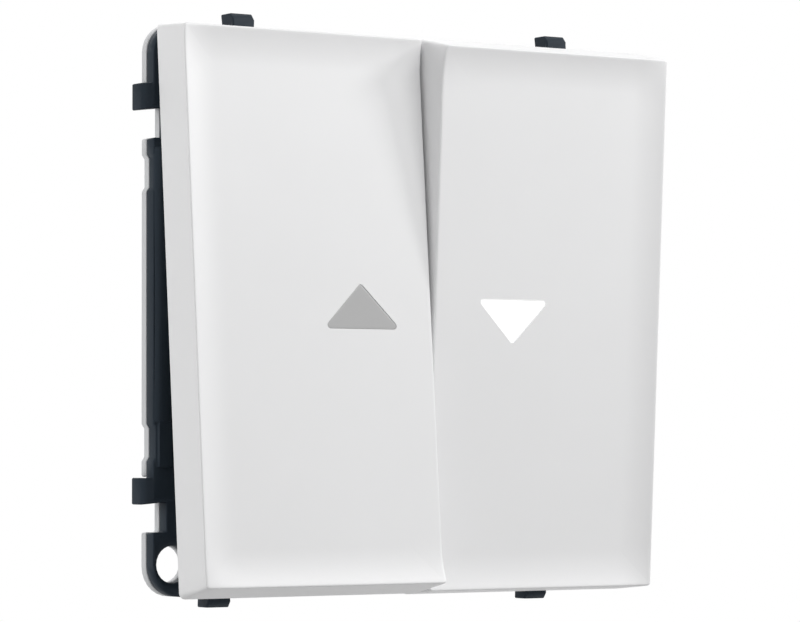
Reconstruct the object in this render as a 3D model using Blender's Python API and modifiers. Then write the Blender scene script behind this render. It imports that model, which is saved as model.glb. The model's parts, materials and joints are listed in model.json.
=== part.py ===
"""Two-gang rocker switch insert for a 45 mm modular wall frame.

Metres, +Z up, +X to the right, the keys face -Y. The origin is the middle of the insert's
seat plane, the back of the pale backing plate. Both keys are shown switched over: the left
one is pressed at its top, the right one at its bottom.
"""

import math

import bmesh
import bpy
from mathutils import Matrix, Vector

# Clearances
SEAT_GAP = 0.0003
FLUSH_GAP = 0.00005
RUNNING_GAP = 0.00005
SLIDING_GAP = 0.0001

# Mounting plates: pale backing plate, dark carrier frame in front of it
PLATE_SIZE = 0.045
PLATE_CORNER_RADIUS = 0.0031
PLATE_TOP_INSET = 0.00025
BACKING_THICKNESS = 0.0007
CARRIER_THICKNESS = 0.00113
PLATE_EDGE_ROUND = 0.0001
OUTLINE_ROUND = 0.00018

# Snap tabs and notches, four-fold round the plate, in clockwise order along a side;
# each place is measured from the nearer corner
FIRST_NOTCH_START = 0.00503
FIRST_TAB_START = 0.00718
FIRST_TAB_END = 0.00928
SECOND_NOTCH_START = 0.00928
SECOND_TAB_START = 0.00713
SECOND_TAB_END = 0.00503
NOTCH_DEPTH = 0.00118
TAB_REACH = 0.00091
TAB_FLARE = 0.00025
TAB_FAR_FLARE = 0.00008
TAB_NOSE = 0.00045
RELIEF_START = 0.01345
RELIEF_END = 0.01055
RELIEF_RAMP = 0.00035
RELIEF_DEPTH = 0.00024

# Fixing holes in two opposite corners, measured from the plate's sides
CORNER_HOLE_FROM_SIDE = 0.00193
CORNER_HOLE_FROM_END = 0.00253
CORNER_HOLE_RADIUS = 0.00145
CORNER_HOLE_MOUTH = 0.0019
CORNER_HOLE_MOUTH_DEPTH = 0.0003

# Rocker keys; each outer edge lies a little inside the plate's outline
KEY_FRONT_SIDE_INSET = 0.0001
KEY_REAR_SIDE_INSET = 0.00005
KEY_FRONT_END_INSET = 0.0007
KEY_REAR_END_INSET = 0.00012
SEAM_HALF_GAP = 0.00015
KEY_FRONT_DEPTH = 0.00526
KEY_REAR_DEPTH = 0.00125
KEY_WALL = 0.0012
KEY_EDGE_ROUND = 0.00012
DISH_DEPTH = 0.00055
DISH_RIM = 0.004
PIVOT_ABOVE_CARRIER = 0.00086
KEY_DROP = 0.00031
LEFT_TILT = math.radians(-4.45)
RIGHT_TILT = math.radians(3.38)

# Light-guide marks in the keys
MARK_WIDTH = 0.0072
MARK_HEIGHT = 0.0036
MARK_CORNER_RADIUS = 0.00025
LEFT_MARK_FROM_MIDDLE = 0.004455
RIGHT_MARK_FROM_MIDDLE = 0.003405
MARK_RISE = 0.00018
MARK_RECESS = 0.0001
LENS_FLANGE_WIDTH = 0.0082
LENS_FLANGE_HEIGHT = 0.0048
LENS_FLANGE_THICKNESS = 0.0005

# Cradles: the inner rockers that the keys clip on
CRADLE_SIDE_CLEARANCE = 0.000275
CRADLE_TO_BOSS = 0.0045
CRADLE_THICKNESS = 0.001
CHEEK_THICKNESS = 0.0013
CHEEK_RADIUS = 0.0016
PIN_RADIUS = 0.00125
PIN_LENGTH = 0.00135
PAD_SIZE = 0.0016
LAMP_WINDOW_WIDTH = 0.0025
LAMP_WINDOW_HEIGHT = 0.0052
HOOK_WIDTH = 0.003
HOOK_THICKNESS = 0.001
HOOK_NIB = 0.0009
HOOK_NIB_HEIGHT = 0.0005
HOOK_OFFSET = 0.004
HOOK_GAP = 0.0004

# Spring-loaded plungers
MECHANISM_FROM_MIDDLE = 0.0011
TUBE_RADIUS = 0.0024
TUBE_LENGTH = 0.00576
BORE_RADIUS = 0.00175
BORE_FLOOR = 0.00044
PLUNGER_LENGTH = 0.00574
PLUNGER_BORE_RADIUS = 0.0012
PLUNGER_BORE_DEPTH = 0.0035
PLUNGER_TIP_RADIUS = 0.0007
SPRING_MEAN_RADIUS = 0.00085
SPRING_WIRE_RADIUS = 0.00016
SPRING_TURNS = 8

# Bearing ears, windows and screw bosses of the carrier
EAR_THICKNESS = 0.0014
EAR_HALF_HEIGHT = 0.0026
EAR_HEIGHT = 0.0026
EAR_SLOT = 0.002
WINDOW_HALF_HEIGHT = 0.0045
BOSS_RADIUS = 0.002
BOSS_HEIGHT = 0.0017
EDGE_RIB_WIDTH = 0.0011
EDGE_RIB_HEIGHT = 0.00035
EDGE_RIB_INSET = 0.00035
EDGE_RIB_HALF_LENGTH = 0.0124

# Rear housing
FLANGE_INSET = 0.0035
FLANGE_THICKNESS = 0.002
FLANGE_CORNER_RADIUS = 0.002
HOUSING_END_INSET = 0.001
HOUSING_SIDE_CLEARANCE = 0.000225
HOUSING_BACK = 0.011
HOUSING_WALL = 0.0012
HOUSING_CHAMFER = 0.0012
WELL_WALL = 0.0008
WELL_OUTER_WALL = 0.001
WELL_MIDDLE_HALF_WALL = 0.0007
WIRE_SLOT_WIDTH = 0.0034
CENTRE_RIB_WIDTH = 0.0024
CENTRE_RIB_HEIGHT = 0.0079

# Contacts
SEESAW_WIDTH = 0.004
SEESAW_THICKNESS = 0.0008
SEESAW_HALF_LENGTH = 0.0079
SEESAW_TO_KEY_RATIO = -1.5
CONTACT_OFFSET = 0.0069
CONTACT_RADIUS = 0.0011
MOVING_CONTACT_HEIGHT = 0.0006
FIXED_CONTACT_HEIGHT = 0.00035
CONTACT_GAP = 0.00025
STRIP_THICKNESS = 0.0008
STRIP_WIDTH = 0.0036
COMMON_STRIP_WIDTH = 0.003
LUG_THICKNESS = 0.0006
LUG_HALF_HEIGHT = 0.0013
LUG_RISE = 0.0011

# Terminals
CLAMP_CLEARANCE = 0.0004
CLAMP_THICKNESS = 0.0008
CLAMP_SCREW_RADIUS = 0.0011
CLAMP_SCREW_HEAD_RADIUS = 0.002
CLAMP_SCREW_HEAD_HEIGHT = 0.0012
CLAMP_SCREW_TAIL = 0.001
SCREW_SLOT_WIDTH = 0.0005
SCREW_SLOT_DEPTH = 0.0005

# Housing screws
HOUSING_SCREW_RADIUS = 0.00075
HOUSING_SCREW_HEAD_RADIUS = 0.0015
HOUSING_SCREW_HEAD_HEIGHT = 0.0011

# Indicator lamps
BOARD_CLEARANCE = 0.001
BOARD_HALF_HEIGHT = 0.0045
BOARD_THICKNESS = 0.001
LAMP_FROM_MIDDLE = 0.0059
LAMP_WIDTH = 0.0022
LAMP_HEIGHT = 0.0016
LAMP_DEPTH = 0.0009
LAMP_PIN_RADIUS = 0.0004

# Facets
ROUND = 24
SMALL_ROUND = 16
ARC_STEPS = 2
CORNER_STEPS = 7
SPRING_POINTS_PER_TURN = 8

# Widths and heights that follow from the plate and the pieces beside each other
PLATE_HALF = PLATE_SIZE / 2
PAIR_HALF_WIDTH = PLATE_HALF - KEY_FRONT_SIDE_INSET
REAR_HALF_WIDTH = PLATE_HALF - KEY_REAR_SIDE_INSET
KEY_FRONT_HALF_HEIGHT = PLATE_HALF - KEY_FRONT_END_INSET
KEY_REAR_HALF_HEIGHT = PLATE_HALF - KEY_REAR_END_INSET
GANG_X = (PAIR_HALF_WIDTH + SEAM_HALF_GAP) / 2
CRADLE_HALF_WIDTH = (
    (PAIR_HALF_WIDTH - SEAM_HALF_GAP) / 2 - KEY_WALL - CRADLE_SIDE_CLEARANCE - EAR_THICKNESS - SEAT_GAP
)
MECHANISM_X = GANG_X - MECHANISM_FROM_MIDDLE
LEFT_MARK_X = GANG_X - LEFT_MARK_FROM_MIDDLE
RIGHT_MARK_X = GANG_X - RIGHT_MARK_FROM_MIDDLE
LAMP_X = GANG_X - LAMP_FROM_MIDDLE
BOARD_HALF_WIDTH = MECHANISM_X - TUBE_RADIUS - BOARD_CLEARANCE
CORNER_HOLE_X = PLATE_HALF - CORNER_HOLE_FROM_SIDE
CORNER_HOLE_Z = PLATE_HALF - CORNER_HOLE_FROM_END
FLANGE_HALF_SIZE = PLATE_HALF - FLANGE_INSET
BOSS_OFFSET = FLANGE_HALF_SIZE - FLANGE_CORNER_RADIUS
CRADLE_HALF_HEIGHT = BOSS_OFFSET - BOSS_RADIUS - CRADLE_TO_BOSS
BLADE_SIDE = MECHANISM_X + SEESAW_WIDTH / 2 + SEAT_GAP + LUG_THICKNESS
HOUSING_HALF_WIDTH = BLADE_SIDE + HOUSING_SIDE_CLEARANCE + HOUSING_WALL
HOUSING_HALF_HEIGHT = FLANGE_HALF_SIZE - HOUSING_END_INSET
WELL_WIDTH = (HOUSING_HALF_WIDTH - WELL_OUTER_WALL - WELL_WALL - WELL_MIDDLE_HALF_WALL) / 2
CLAMP_SIZE = WELL_WIDTH - 2 * CLAMP_CLEARANCE
OUTER_TERMINAL_X = HOUSING_HALF_WIDTH - WELL_OUTER_WALL - WELL_WIDTH / 2
INNER_TERMINAL_X = OUTER_TERMINAL_X - WELL_WIDTH - WELL_WALL
TERMINAL_Z = HOUSING_HALF_HEIGHT - HOUSING_WALL - WELL_OUTER_WALL - WELL_WIDTH / 2

# Planes along Y that the pieces share
CARRIER_BACK = -BACKING_THICKNESS - FLUSH_GAP
CARRIER_FRONT = CARRIER_BACK - CARRIER_THICKNESS
PIVOT_Y = CARRIER_FRONT - PIVOT_ABOVE_CARRIER
PIVOT_Z = -KEY_DROP
FLANGE_FRONT = CARRIER_BACK + SEAT_GAP
FLANGE_BACK = FLANGE_FRONT + FLANGE_THICKNESS
CAVITY_FLOOR = HOUSING_BACK - HOUSING_WALL
CEILING = -KEY_FRONT_DEPTH + DISH_DEPTH + KEY_WALL
FLANGE_OF_LENS_BACK = CEILING + FLUSH_GAP + LENS_FLANGE_THICKNESS
CRADLE_FRONT = FLANGE_OF_LENS_BACK + SEAT_GAP
CRADLE_BACK = CRADLE_FRONT + CRADLE_THICKNESS
TUBE_END = CRADLE_BACK + TUBE_LENGTH
PLUNGER_RADIUS = BORE_RADIUS - SLIDING_GAP
PLUNGER_START = 0.001
PLUNGER_TIP = PLUNGER_START + PLUNGER_LENGTH
SEESAW_FRONT = PIVOT_Y + PLUNGER_TIP + SEAT_GAP
SEESAW_AXIS_Y = SEESAW_FRONT + SEESAW_THICKNESS
LARGEST_TILT = max(abs(LEFT_TILT), abs(RIGHT_TILT))
CONTACT_SWING = CONTACT_OFFSET * math.sin(LARGEST_TILT * abs(SEESAW_TO_KEY_RATIO))
FIXED_CONTACT_FRONT = SEESAW_AXIS_Y + MOVING_CONTACT_HEIGHT + CONTACT_SWING + CONTACT_GAP
STRIP_FRONT = FIXED_CONTACT_FRONT + FIXED_CONTACT_HEIGHT
STRIP_BACK = STRIP_FRONT + STRIP_THICKNESS
CLAMP_FRONT = STRIP_BACK + SEAT_GAP
CLAMP_BACK = CLAMP_FRONT + CLAMP_THICKNESS
CLAMP_HEAD_FRONT = CLAMP_BACK + SEAT_GAP
EAR_INNER = CRADLE_HALF_WIDTH + SEAT_GAP
WINDOW_HALF_WIDTH = EAR_INNER - FLUSH_GAP
BOARD_BACK = CAVITY_FLOOR - CENTRE_RIB_HEIGHT - SEAT_GAP
BOARD_FRONT = BOARD_BACK - BOARD_THICKNESS

SIDES = (("left", -1, LEFT_TILT, LEFT_MARK_X), ("right", 1, RIGHT_TILT, RIGHT_MARK_X))


def collection(name):
    """A collection of that name under the scene's own."""
    made = bpy.data.collections.new(name)
    bpy.context.scene.collection.children.link(made)
    return made


def material(name, colour, roughness, metallic=0.0):
    """A Principled material of one colour."""
    made = bpy.data.materials.new(name)
    made.use_nodes = True
    shader = made.node_tree.nodes["Principled BSDF"]
    shader.inputs["Base Color"].default_value = (*colour, 1.0)
    shader.inputs["Roughness"].default_value = roughness
    shader.inputs["Metallic"].default_value = metallic
    return made


def empty(name, place, tilt):
    """An empty on a joint's axis, which carries the pieces that turn about it."""
    made = bpy.data.objects.new(name, None)
    made.empty_display_size = PIN_RADIUS
    made.location = place
    made.rotation_euler = (tilt, 0.0, 0.0)
    PARTS.objects.link(made)
    return made


def solid(name, bm, finish=None, parent=None):
    """An object from a bmesh: a piece if it has a finish, otherwise a tool for Booleans."""
    mesh = bpy.data.meshes.new(name)
    bmesh.ops.recalc_face_normals(bm, faces=bm.faces)
    bm.to_mesh(mesh)
    bm.free()
    made = bpy.data.objects.new(name, mesh)
    made.parent = parent
    if finish:
        mesh.materials.append(finish)
        mesh.shade_smooth()
        mesh.set_sharp_from_angle(angle=math.radians(35))
        PARTS.objects.link(made)
    else:
        made.hide_render = True
        made.display_type = "WIRE"
        TOOLS.objects.link(made)
    return made


def boolean(target, tool, operation):
    """Adds an exact Boolean of the tool to the target."""
    modifier = target.modifiers.new(tool.name, "BOOLEAN")
    modifier.operation = operation
    modifier.object = tool
    modifier.solver = "EXACT"


def bevelled(target, width, segments=2):
    """Rounds the target's real edges."""
    modifier = target.modifiers.new("edge_round", "BEVEL")
    modifier.width = width
    modifier.segments = segments
    modifier.limit_method = "ANGLE"
    modifier.angle_limit = math.radians(40)


def box_in(bm, low, high):
    """Adds a box between two corners."""
    centre = (Vector(low) + Vector(high)) / 2
    size = Vector(high) - Vector(low)
    scale = Matrix.Diagonal((abs(size.x), abs(size.y), abs(size.z), 1.0))
    bmesh.ops.create_cube(bm, size=1.0, matrix=Matrix.Translation(centre) @ scale)


def rod_in(bm, radius, start, end, segments=ROUND, end_radius=None):
    """Adds a cylinder, or a cone, from start to end."""
    start, end = Vector(start), Vector(end)
    along = end - start
    turn = Vector((0.0, 0.0, 1.0)).rotation_difference(along).to_matrix().to_4x4()
    bmesh.ops.create_cone(
        bm,
        cap_ends=True,
        segments=segments,
        radius1=radius,
        radius2=radius if end_radius is None else end_radius,
        depth=along.length,
        matrix=Matrix.Translation((start + end) / 2) @ turn,
    )


def prism_in(bm, outline, front, back):
    """Adds a prism: an outline of (x, z) points drawn from one plane of Y to another."""
    face = bm.faces.new([bm.verts.new((x, front, z)) for x, z in outline])
    drawn = bmesh.ops.extrude_face_region(bm, geom=[face])
    moved = [item for item in drawn["geom"] if isinstance(item, bmesh.types.BMVert)]
    bmesh.ops.translate(bm, verts=moved, vec=(0.0, back - front, 0.0))


def rounded(corners):
    """A closed outline with each (x, z, radius) corner rounded by an arc of that radius."""
    outline = []
    for index, (x, z, radius) in enumerate(corners):
        here = Vector((x, z))
        before = Vector(corners[index - 1][:2]) - here
        after = Vector(corners[(index + 1) % len(corners)][:2]) - here
        half_angle = before.angle(after) / 2
        reach = radius / math.tan(half_angle)
        reach = min(reach, before.length * 0.48, after.length * 0.48)
        radius = reach * math.tan(half_angle)
        if radius < FLUSH_GAP:
            outline.append((x, z))
            continue
        middle = (before.normalized() + after.normalized()).normalized()
        centre = here + middle * (radius / math.sin(half_angle))
        first = here + before.normalized() * reach - centre
        last = here + after.normalized() * reach - centre
        sweep = first.angle_signed(last)
        steps = CORNER_STEPS if radius > PLATE_CORNER_RADIUS / 2 else ARC_STEPS
        for step in range(steps + 1):
            turned = first.copy()
            turned.rotate(Matrix.Rotation(-sweep * step / steps, 2))
            outline.append(tuple(centre + turned))
    return outline


def rectangle(half_width, half_height, radius, centre=(0.0, 0.0)):
    """A rectangle's outline with rounded corners."""
    signs = ((-1, 1), (1, 1), (1, -1), (-1, -1))
    corners = [
        (centre[0] + sx * half_width, centre[1] + sz * half_height, radius) for sx, sz in signs
    ]
    return rounded(corners)


def circle(radius, centre):
    """A circle's outline."""
    turns = [2 * math.pi * index / ROUND for index in range(ROUND)]
    return [(centre[0] + radius * math.cos(t), centre[1] + radius * math.sin(t)) for t in turns]


def sheet(name, outlines, front, back, edge, finish):
    """A flat piece: a filled 2D curve of an outline and its holes, extruded, edges rounded."""
    curve = bpy.data.curves.new(name, "CURVE")
    curve.dimensions = "2D"
    curve.fill_mode = "BOTH"
    curve.extrude = (back - front) / 2 - edge
    curve.bevel_depth = edge
    curve.bevel_resolution = 0
    curve.offset = -edge
    for outline in outlines:
        spline = curve.splines.new("POLY")
        spline.points.add(len(outline) - 1)
        for point, (x, z) in zip(spline.points, outline):
            point.co = (x, z, 0.0, 1.0)
        spline.use_cyclic_u = True
    drawing = bpy.data.objects.new(name, curve)
    TOOLS.objects.link(drawing)
    graph = bpy.context.evaluated_depsgraph_get()
    bm = bmesh.new()
    mesh = bpy.data.meshes.new_from_object(drawing.evaluated_get(graph))
    bm.from_mesh(mesh)
    bpy.data.objects.remove(drawing)
    bpy.data.meshes.remove(mesh)
    bmesh.ops.remove_doubles(bm, verts=bm.verts, dist=1e-6)
    upright = Matrix.Translation((0.0, (front + back) / 2, 0.0)) @ Matrix.Rotation(math.pi / 2, 4, "X")
    bmesh.ops.transform(bm, matrix=upright, verts=bm.verts)
    return solid(name, bm, finish)


def side_place(side, along, out):
    """The (x, z) place of a point along one of the plate's four sides, clockwise."""
    reach = PLATE_HALF + out
    return ((along, reach), (reach, -along), (-along, -reach), (-reach, along))[side]


def plate_corners(stations):
    """The corners of a plate whose four sides all have these (along, out, radius) stations.

    The top side lies lower than a full square's by its own inset.
    """
    corners = []
    for side in range(4):
        lowered = PLATE_TOP_INSET if side == 0 else 0.0
        x, z = side_place(side, -PLATE_HALF, 0.0)
        if z > 0.0:
            z = PLATE_HALF - PLATE_TOP_INSET
        corners.append((x, z, PLATE_CORNER_RADIUS))
        for along, out, radius in stations:
            x, z = side_place(side, along, out)
            corners.append((x, z - lowered, radius))
    return corners


def relief_stations(sign):
    """The shallow relief in an edge, in clockwise order."""
    start = PLATE_HALF - RELIEF_START
    end = PLATE_HALF - RELIEF_END
    stations = [
        (start, 0.0, 0.0),
        (start + RELIEF_RAMP, -RELIEF_DEPTH, 0.0),
        (end - RELIEF_RAMP, -RELIEF_DEPTH, 0.0),
        (end, 0.0, 0.0),
    ]
    if sign < 0:
        stations = [(-along, out, radius) for along, out, radius in reversed(stations)]
    return stations


def notch(start, end):
    """The stations of a notch between two positions along a side."""
    r = OUTLINE_ROUND
    return [(start, 0.0, r), (start, -NOTCH_DEPTH, r), (end, -NOTCH_DEPTH, r), (end, 0.0, r)]


def carrier_outline():
    """The carrier's outline without its tabs: notches and edge reliefs."""
    hidden = TAB_FLARE + PLATE_EDGE_ROUND
    first = notch(FIRST_NOTCH_START - PLATE_HALF, FIRST_TAB_START - PLATE_HALF + hidden)
    second = notch(PLATE_HALF - SECOND_NOTCH_START, PLATE_HALF - SECOND_TAB_START + hidden)
    return rounded(plate_corners(first + relief_stations(-1) + relief_stations(1) + second))


def backing_outline():
    """The backing plate's outline: its notches also clear the carrier's tabs."""
    first = notch(FIRST_NOTCH_START - PLATE_HALF, FIRST_TAB_END - PLATE_HALF + FLUSH_GAP)
    second = notch(PLATE_HALF - SECOND_NOTCH_START, PLATE_HALF - SECOND_TAB_END + FLUSH_GAP)
    return rounded(plate_corners(first + relief_stations(-1) + relief_stations(1) + second))


def tab_in(bm, side, start, end):
    """Adds a snap tab: flared towards its tip, which slopes at the front."""
    root = -NOTCH_DEPTH - CARRIER_THICKNESS / 2
    foot = -NOTCH_DEPTH + FLUSH_GAP
    front = CARRIER_FRONT + FLUSH_GAP
    step = CARRIER_BACK - FLUSH_GAP
    back = -FLUSH_GAP
    profile = [
        (root, front),
        (TAB_REACH - TAB_NOSE, front),
        (TAB_REACH, CARRIER_FRONT + TAB_NOSE),
        (TAB_REACH, back),
        (foot, back),
        (foot, step),
        (root, step),
    ]
    rings = []
    for tip, flare in ((start, TAB_FLARE), (end, -TAB_FAR_FLARE)):
        ring = []
        for out, y in profile:
            along = tip + flare * (TAB_REACH - out) / (TAB_REACH + NOTCH_DEPTH)
            x, z = side_place(side, along, out)
            ring.append(bm.verts.new((x, y, z)))
        bm.faces.new(ring)
        rings.append(ring)
    for index in range(len(profile)):
        after = (index + 1) % len(profile)
        bm.faces.new((rings[0][index], rings[0][after], rings[1][after], rings[1][index]))


def make_backing_plate():
    """The pale plate behind the carrier, a ring round the housing."""
    opening = FLANGE_HALF_SIZE + SEAT_GAP
    outlines = [
        backing_outline(),
        rectangle(opening, opening, FLANGE_CORNER_RADIUS + SEAT_GAP),
        circle(CORNER_HOLE_RADIUS, (-CORNER_HOLE_X, -CORNER_HOLE_Z)),
        circle(CORNER_HOLE_RADIUS, (CORNER_HOLE_X, CORNER_HOLE_Z)),
    ]
    sheet("backing_plate", outlines, -BACKING_THICKNESS, 0.0, PLATE_EDGE_ROUND / 2, PALE)


def make_carrier():
    """The dark carrier frame with its tabs, bearing ears and screw bosses."""
    outlines = [carrier_outline()]
    for _, sign, _, _ in SIDES:
        outlines.append(
            rectangle(WINDOW_HALF_WIDTH, WINDOW_HALF_HEIGHT, OUTLINE_ROUND, (sign * GANG_X, PIVOT_Z))
        )
    carrier = sheet("carrier_frame", outlines, CARRIER_FRONT, CARRIER_BACK, PLATE_EDGE_ROUND, SLATE)

    added = bmesh.new()
    inside = (CARRIER_FRONT + CARRIER_BACK) / 2
    for side in range(4):
        tab_in(added, side, FIRST_TAB_START - PLATE_HALF, FIRST_TAB_END - PLATE_HALF)
        tab_in(added, side, PLATE_HALF - SECOND_TAB_START, PLATE_HALF - SECOND_TAB_END)
    for _, sign, _, _ in SIDES:
        for way in (-1, 1):
            near = sign * GANG_X + way * EAR_INNER
            far = near + way * EAR_THICKNESS
            low = (min(near, far), CARRIER_FRONT - EAR_HEIGHT, PIVOT_Z - EAR_HALF_HEIGHT)
            high = (max(near, far), inside, PIVOT_Z + EAR_HALF_HEIGHT)
            box_in(added, low, high)
        edge = sign * (PLATE_HALF - EDGE_RIB_INSET)
        inner = edge - sign * EDGE_RIB_WIDTH
        low = (min(edge, inner), CARRIER_FRONT - EDGE_RIB_HEIGHT, -EDGE_RIB_HALF_LENGTH)
        box_in(added, low, (max(edge, inner), inside, EDGE_RIB_HALF_LENGTH))
    for x in (-BOSS_OFFSET, BOSS_OFFSET):
        for z in (-BOSS_OFFSET, BOSS_OFFSET):
            rod_in(added, BOSS_RADIUS, (x, inside, z), (x, CARRIER_FRONT - BOSS_HEIGHT, z))
    boolean(carrier, solid("carrier_additions", added), "UNION")

    removed = bmesh.new()
    for _, sign, _, _ in SIDES:
        centre = sign * GANG_X
        reach = EAR_INNER + 2 * EAR_THICKNESS
        rod_in(
            removed,
            PIN_RADIUS + RUNNING_GAP,
            (centre - reach, PIVOT_Y, PIVOT_Z),
            (centre + reach, PIVOT_Y, PIVOT_Z),
        )
    boolean(carrier, solid("bearing_holes", removed), "DIFFERENCE")

    slots = bmesh.new()
    for _, sign, _, _ in SIDES:
        for way in (-1, 1):
            middle = sign * GANG_X + way * (EAR_INNER + EAR_THICKNESS / 2)
            low = (middle - EAR_THICKNESS, CARRIER_FRONT - 2 * EAR_HEIGHT, PIVOT_Z - EAR_SLOT / 2)
            box_in(slots, low, (middle + EAR_THICKNESS, PIVOT_Y, PIVOT_Z + EAR_SLOT / 2))
    for sign in (-1, 1):
        x, z = sign * CORNER_HOLE_X, sign * CORNER_HOLE_Z
        rod_in(
            slots,
            CORNER_HOLE_RADIUS,
            (x, CARRIER_FRONT + CORNER_HOLE_MOUTH_DEPTH / 2, z),
            (x, CARRIER_BACK + CARRIER_THICKNESS, z),
        )
    for x in (-BOSS_OFFSET, BOSS_OFFSET):
        for z in (-BOSS_OFFSET, BOSS_OFFSET):
            deep = CARRIER_FRONT - BOSS_HEIGHT + SEAT_GAP
            radius = HOUSING_SCREW_RADIUS + RUNNING_GAP
            rod_in(slots, radius, (x, 0.0, z), (x, deep, z), SMALL_ROUND)
    boolean(carrier, solid("carrier_cuts", slots), "DIFFERENCE")

    mouths = bmesh.new()
    for sign in (-1, 1):
        x, z = sign * CORNER_HOLE_X, sign * CORNER_HOLE_Z
        rod_in(
            mouths,
            CORNER_HOLE_MOUTH,
            (x, CARRIER_FRONT - FLUSH_GAP, z),
            (x, CARRIER_FRONT + CORNER_HOLE_MOUTH_DEPTH, z),
            end_radius=CORNER_HOLE_RADIUS,
        )
    boolean(carrier, solid("corner_hole_mouths", mouths), "DIFFERENCE")


def wells():
    """The (x, z, way) of each terminal well; its wires leave by the top or the bottom."""
    places = []
    for sign in (-1, 1):
        places.append((sign * OUTER_TERMINAL_X, TERMINAL_Z, 1))
        places.append((sign * OUTER_TERMINAL_X, -TERMINAL_Z, -1))
        places.append((sign * INNER_TERMINAL_X, -TERMINAL_Z, -1))
    return places


def make_housing():
    """The closed back: a flange behind the carrier and a box with open terminal wells."""
    outline = rectangle(FLANGE_HALF_SIZE, FLANGE_HALF_SIZE, FLANGE_CORNER_RADIUS)
    housing = sheet("housing", [outline], FLANGE_FRONT, FLANGE_BACK, PLATE_EDGE_ROUND, GRAPHITE)

    body = bmesh.new()
    inside = (FLANGE_FRONT + FLANGE_BACK) / 2
    low = (-HOUSING_HALF_WIDTH, inside, -HOUSING_HALF_HEIGHT)
    box_in(body, low, (HOUSING_HALF_WIDTH, HOUSING_BACK, HOUSING_HALF_HEIGHT))
    rear = [
        edge for edge in body.edges if all(v.co.y > HOUSING_BACK - FLUSH_GAP for v in edge.verts)
    ]
    bmesh.ops.bevel(body, geom=rear, offset=HOUSING_CHAMFER, segments=1, affect="EDGES")
    boolean(housing, solid("housing_box", body), "UNION")

    cavity = bmesh.new()
    half_width = HOUSING_HALF_WIDTH - HOUSING_WALL
    half_height = HOUSING_HALF_HEIGHT - HOUSING_WALL
    low = (-half_width, FLANGE_FRONT - FLANGE_THICKNESS, -half_height)
    box_in(cavity, low, (half_width, CAVITY_FLOOR, half_height))
    boolean(housing, solid("housing_cavity", cavity), "DIFFERENCE")

    blocks = bmesh.new()
    floor = CAVITY_FLOOR + HOUSING_WALL / 2
    reach = OUTER_TERMINAL_X + WELL_WIDTH / 2 + WELL_WALL / 2
    near = OUTER_TERMINAL_X - WELL_WIDTH / 2 - WELL_WALL
    foot = TERMINAL_Z - WELL_WIDTH / 2 - WELL_WALL
    top = half_height + HOUSING_WALL / 2
    box_in(blocks, (-reach, CLAMP_FRONT, -top), (reach, floor, -foot))
    box_in(blocks, (-reach, CLAMP_FRONT, foot), (-near, floor, top))
    box_in(blocks, (near, CLAMP_FRONT, foot), (reach, floor, top))
    boolean(housing, solid("well_blocks", blocks), "UNION")

    ribs = bmesh.new()
    rib_front = BOARD_BACK + SEAT_GAP
    box_in(
        ribs,
        (-CENTRE_RIB_WIDTH / 2, rib_front, -BOARD_HALF_HEIGHT),
        (CENTRE_RIB_WIDTH / 2, floor, BOARD_HALF_HEIGHT),
    )
    for sign in (-1, 1):
        for z in (0.0, CONTACT_OFFSET, -CONTACT_OFFSET):
            x = sign * MECHANISM_X
            low = (x - SEESAW_WIDTH / 2, STRIP_BACK + SEAT_GAP, z - CONTACT_RADIUS)
            box_in(ribs, low, (x + SEESAW_WIDTH / 2, floor, z + CONTACT_RADIUS))
    boolean(housing, solid("seat_ribs", ribs), "UNION")

    cuts = bmesh.new()
    for x, z, way in wells():
        half = WELL_WIDTH / 2
        box_in(cuts, (x - half, STRIP_BACK, z - half), (x + half, HOUSING_BACK + HOUSING_WALL, z + half))
    boolean(housing, solid("well_mouths", cuts), "DIFFERENCE")

    slots = bmesh.new()
    for x, z, way in wells():
        outer = way * (HOUSING_HALF_HEIGHT + HOUSING_WALL)
        low = (x - WIRE_SLOT_WIDTH / 2, CLAMP_FRONT + SEAT_GAP, min(z, outer))
        box_in(slots, low, (x + WIRE_SLOT_WIDTH / 2, HOUSING_BACK + HOUSING_WALL, max(z, outer)))
    for x in (-BOSS_OFFSET, BOSS_OFFSET):
        for z in (-BOSS_OFFSET, BOSS_OFFSET):
            radius = HOUSING_SCREW_RADIUS + SLIDING_GAP
            ends = (x, FLANGE_FRONT - FLANGE_THICKNESS, z), (x, FLANGE_BACK + FLANGE_THICKNESS, z)
            rod_in(slots, radius, *ends, SMALL_ROUND)
    boolean(housing, solid("wire_slots_and_screw_holes", slots), "DIFFERENCE")


def fall(distance):
    """How far the face has sunk at a distance from its rim: steep at the rim, then level."""
    left = max(1.0 - distance / DISH_RIM, 0.0)
    return 1.0 - left * left


def dish(x, z):
    """How deep the key's face lies below its rim: full depth inside, none along the rim."""
    from_side = fall(PAIR_HALF_WIDTH - abs(x))
    from_end = fall(KEY_FRONT_HALF_HEIGHT - abs(z))
    return DISH_DEPTH * from_side * from_end


def key_stations():
    """Where the key's face is divided: closely in the rim, widely in the flat."""
    rim = [DISH_RIM * share for share in (0.0, 0.18, 0.36, 0.54, 0.72, 1.0)]
    across = [PAIR_HALF_WIDTH - reach for reach in rim]
    inner = PAIR_HALF_WIDTH - DISH_RIM
    across += [SEAM_HALF_GAP + (inner - SEAM_HALF_GAP) * share for share in (0.66, 0.33, 0.0)]
    up = [KEY_FRONT_HALF_HEIGHT - reach for reach in rim]
    down = [-z for z in reversed(up)]
    flat = KEY_FRONT_HALF_HEIGHT - DISH_RIM
    middle = [flat * share for share in (0.6, 0.2, -0.2, -0.6)]
    return across, up + middle + down


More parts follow.
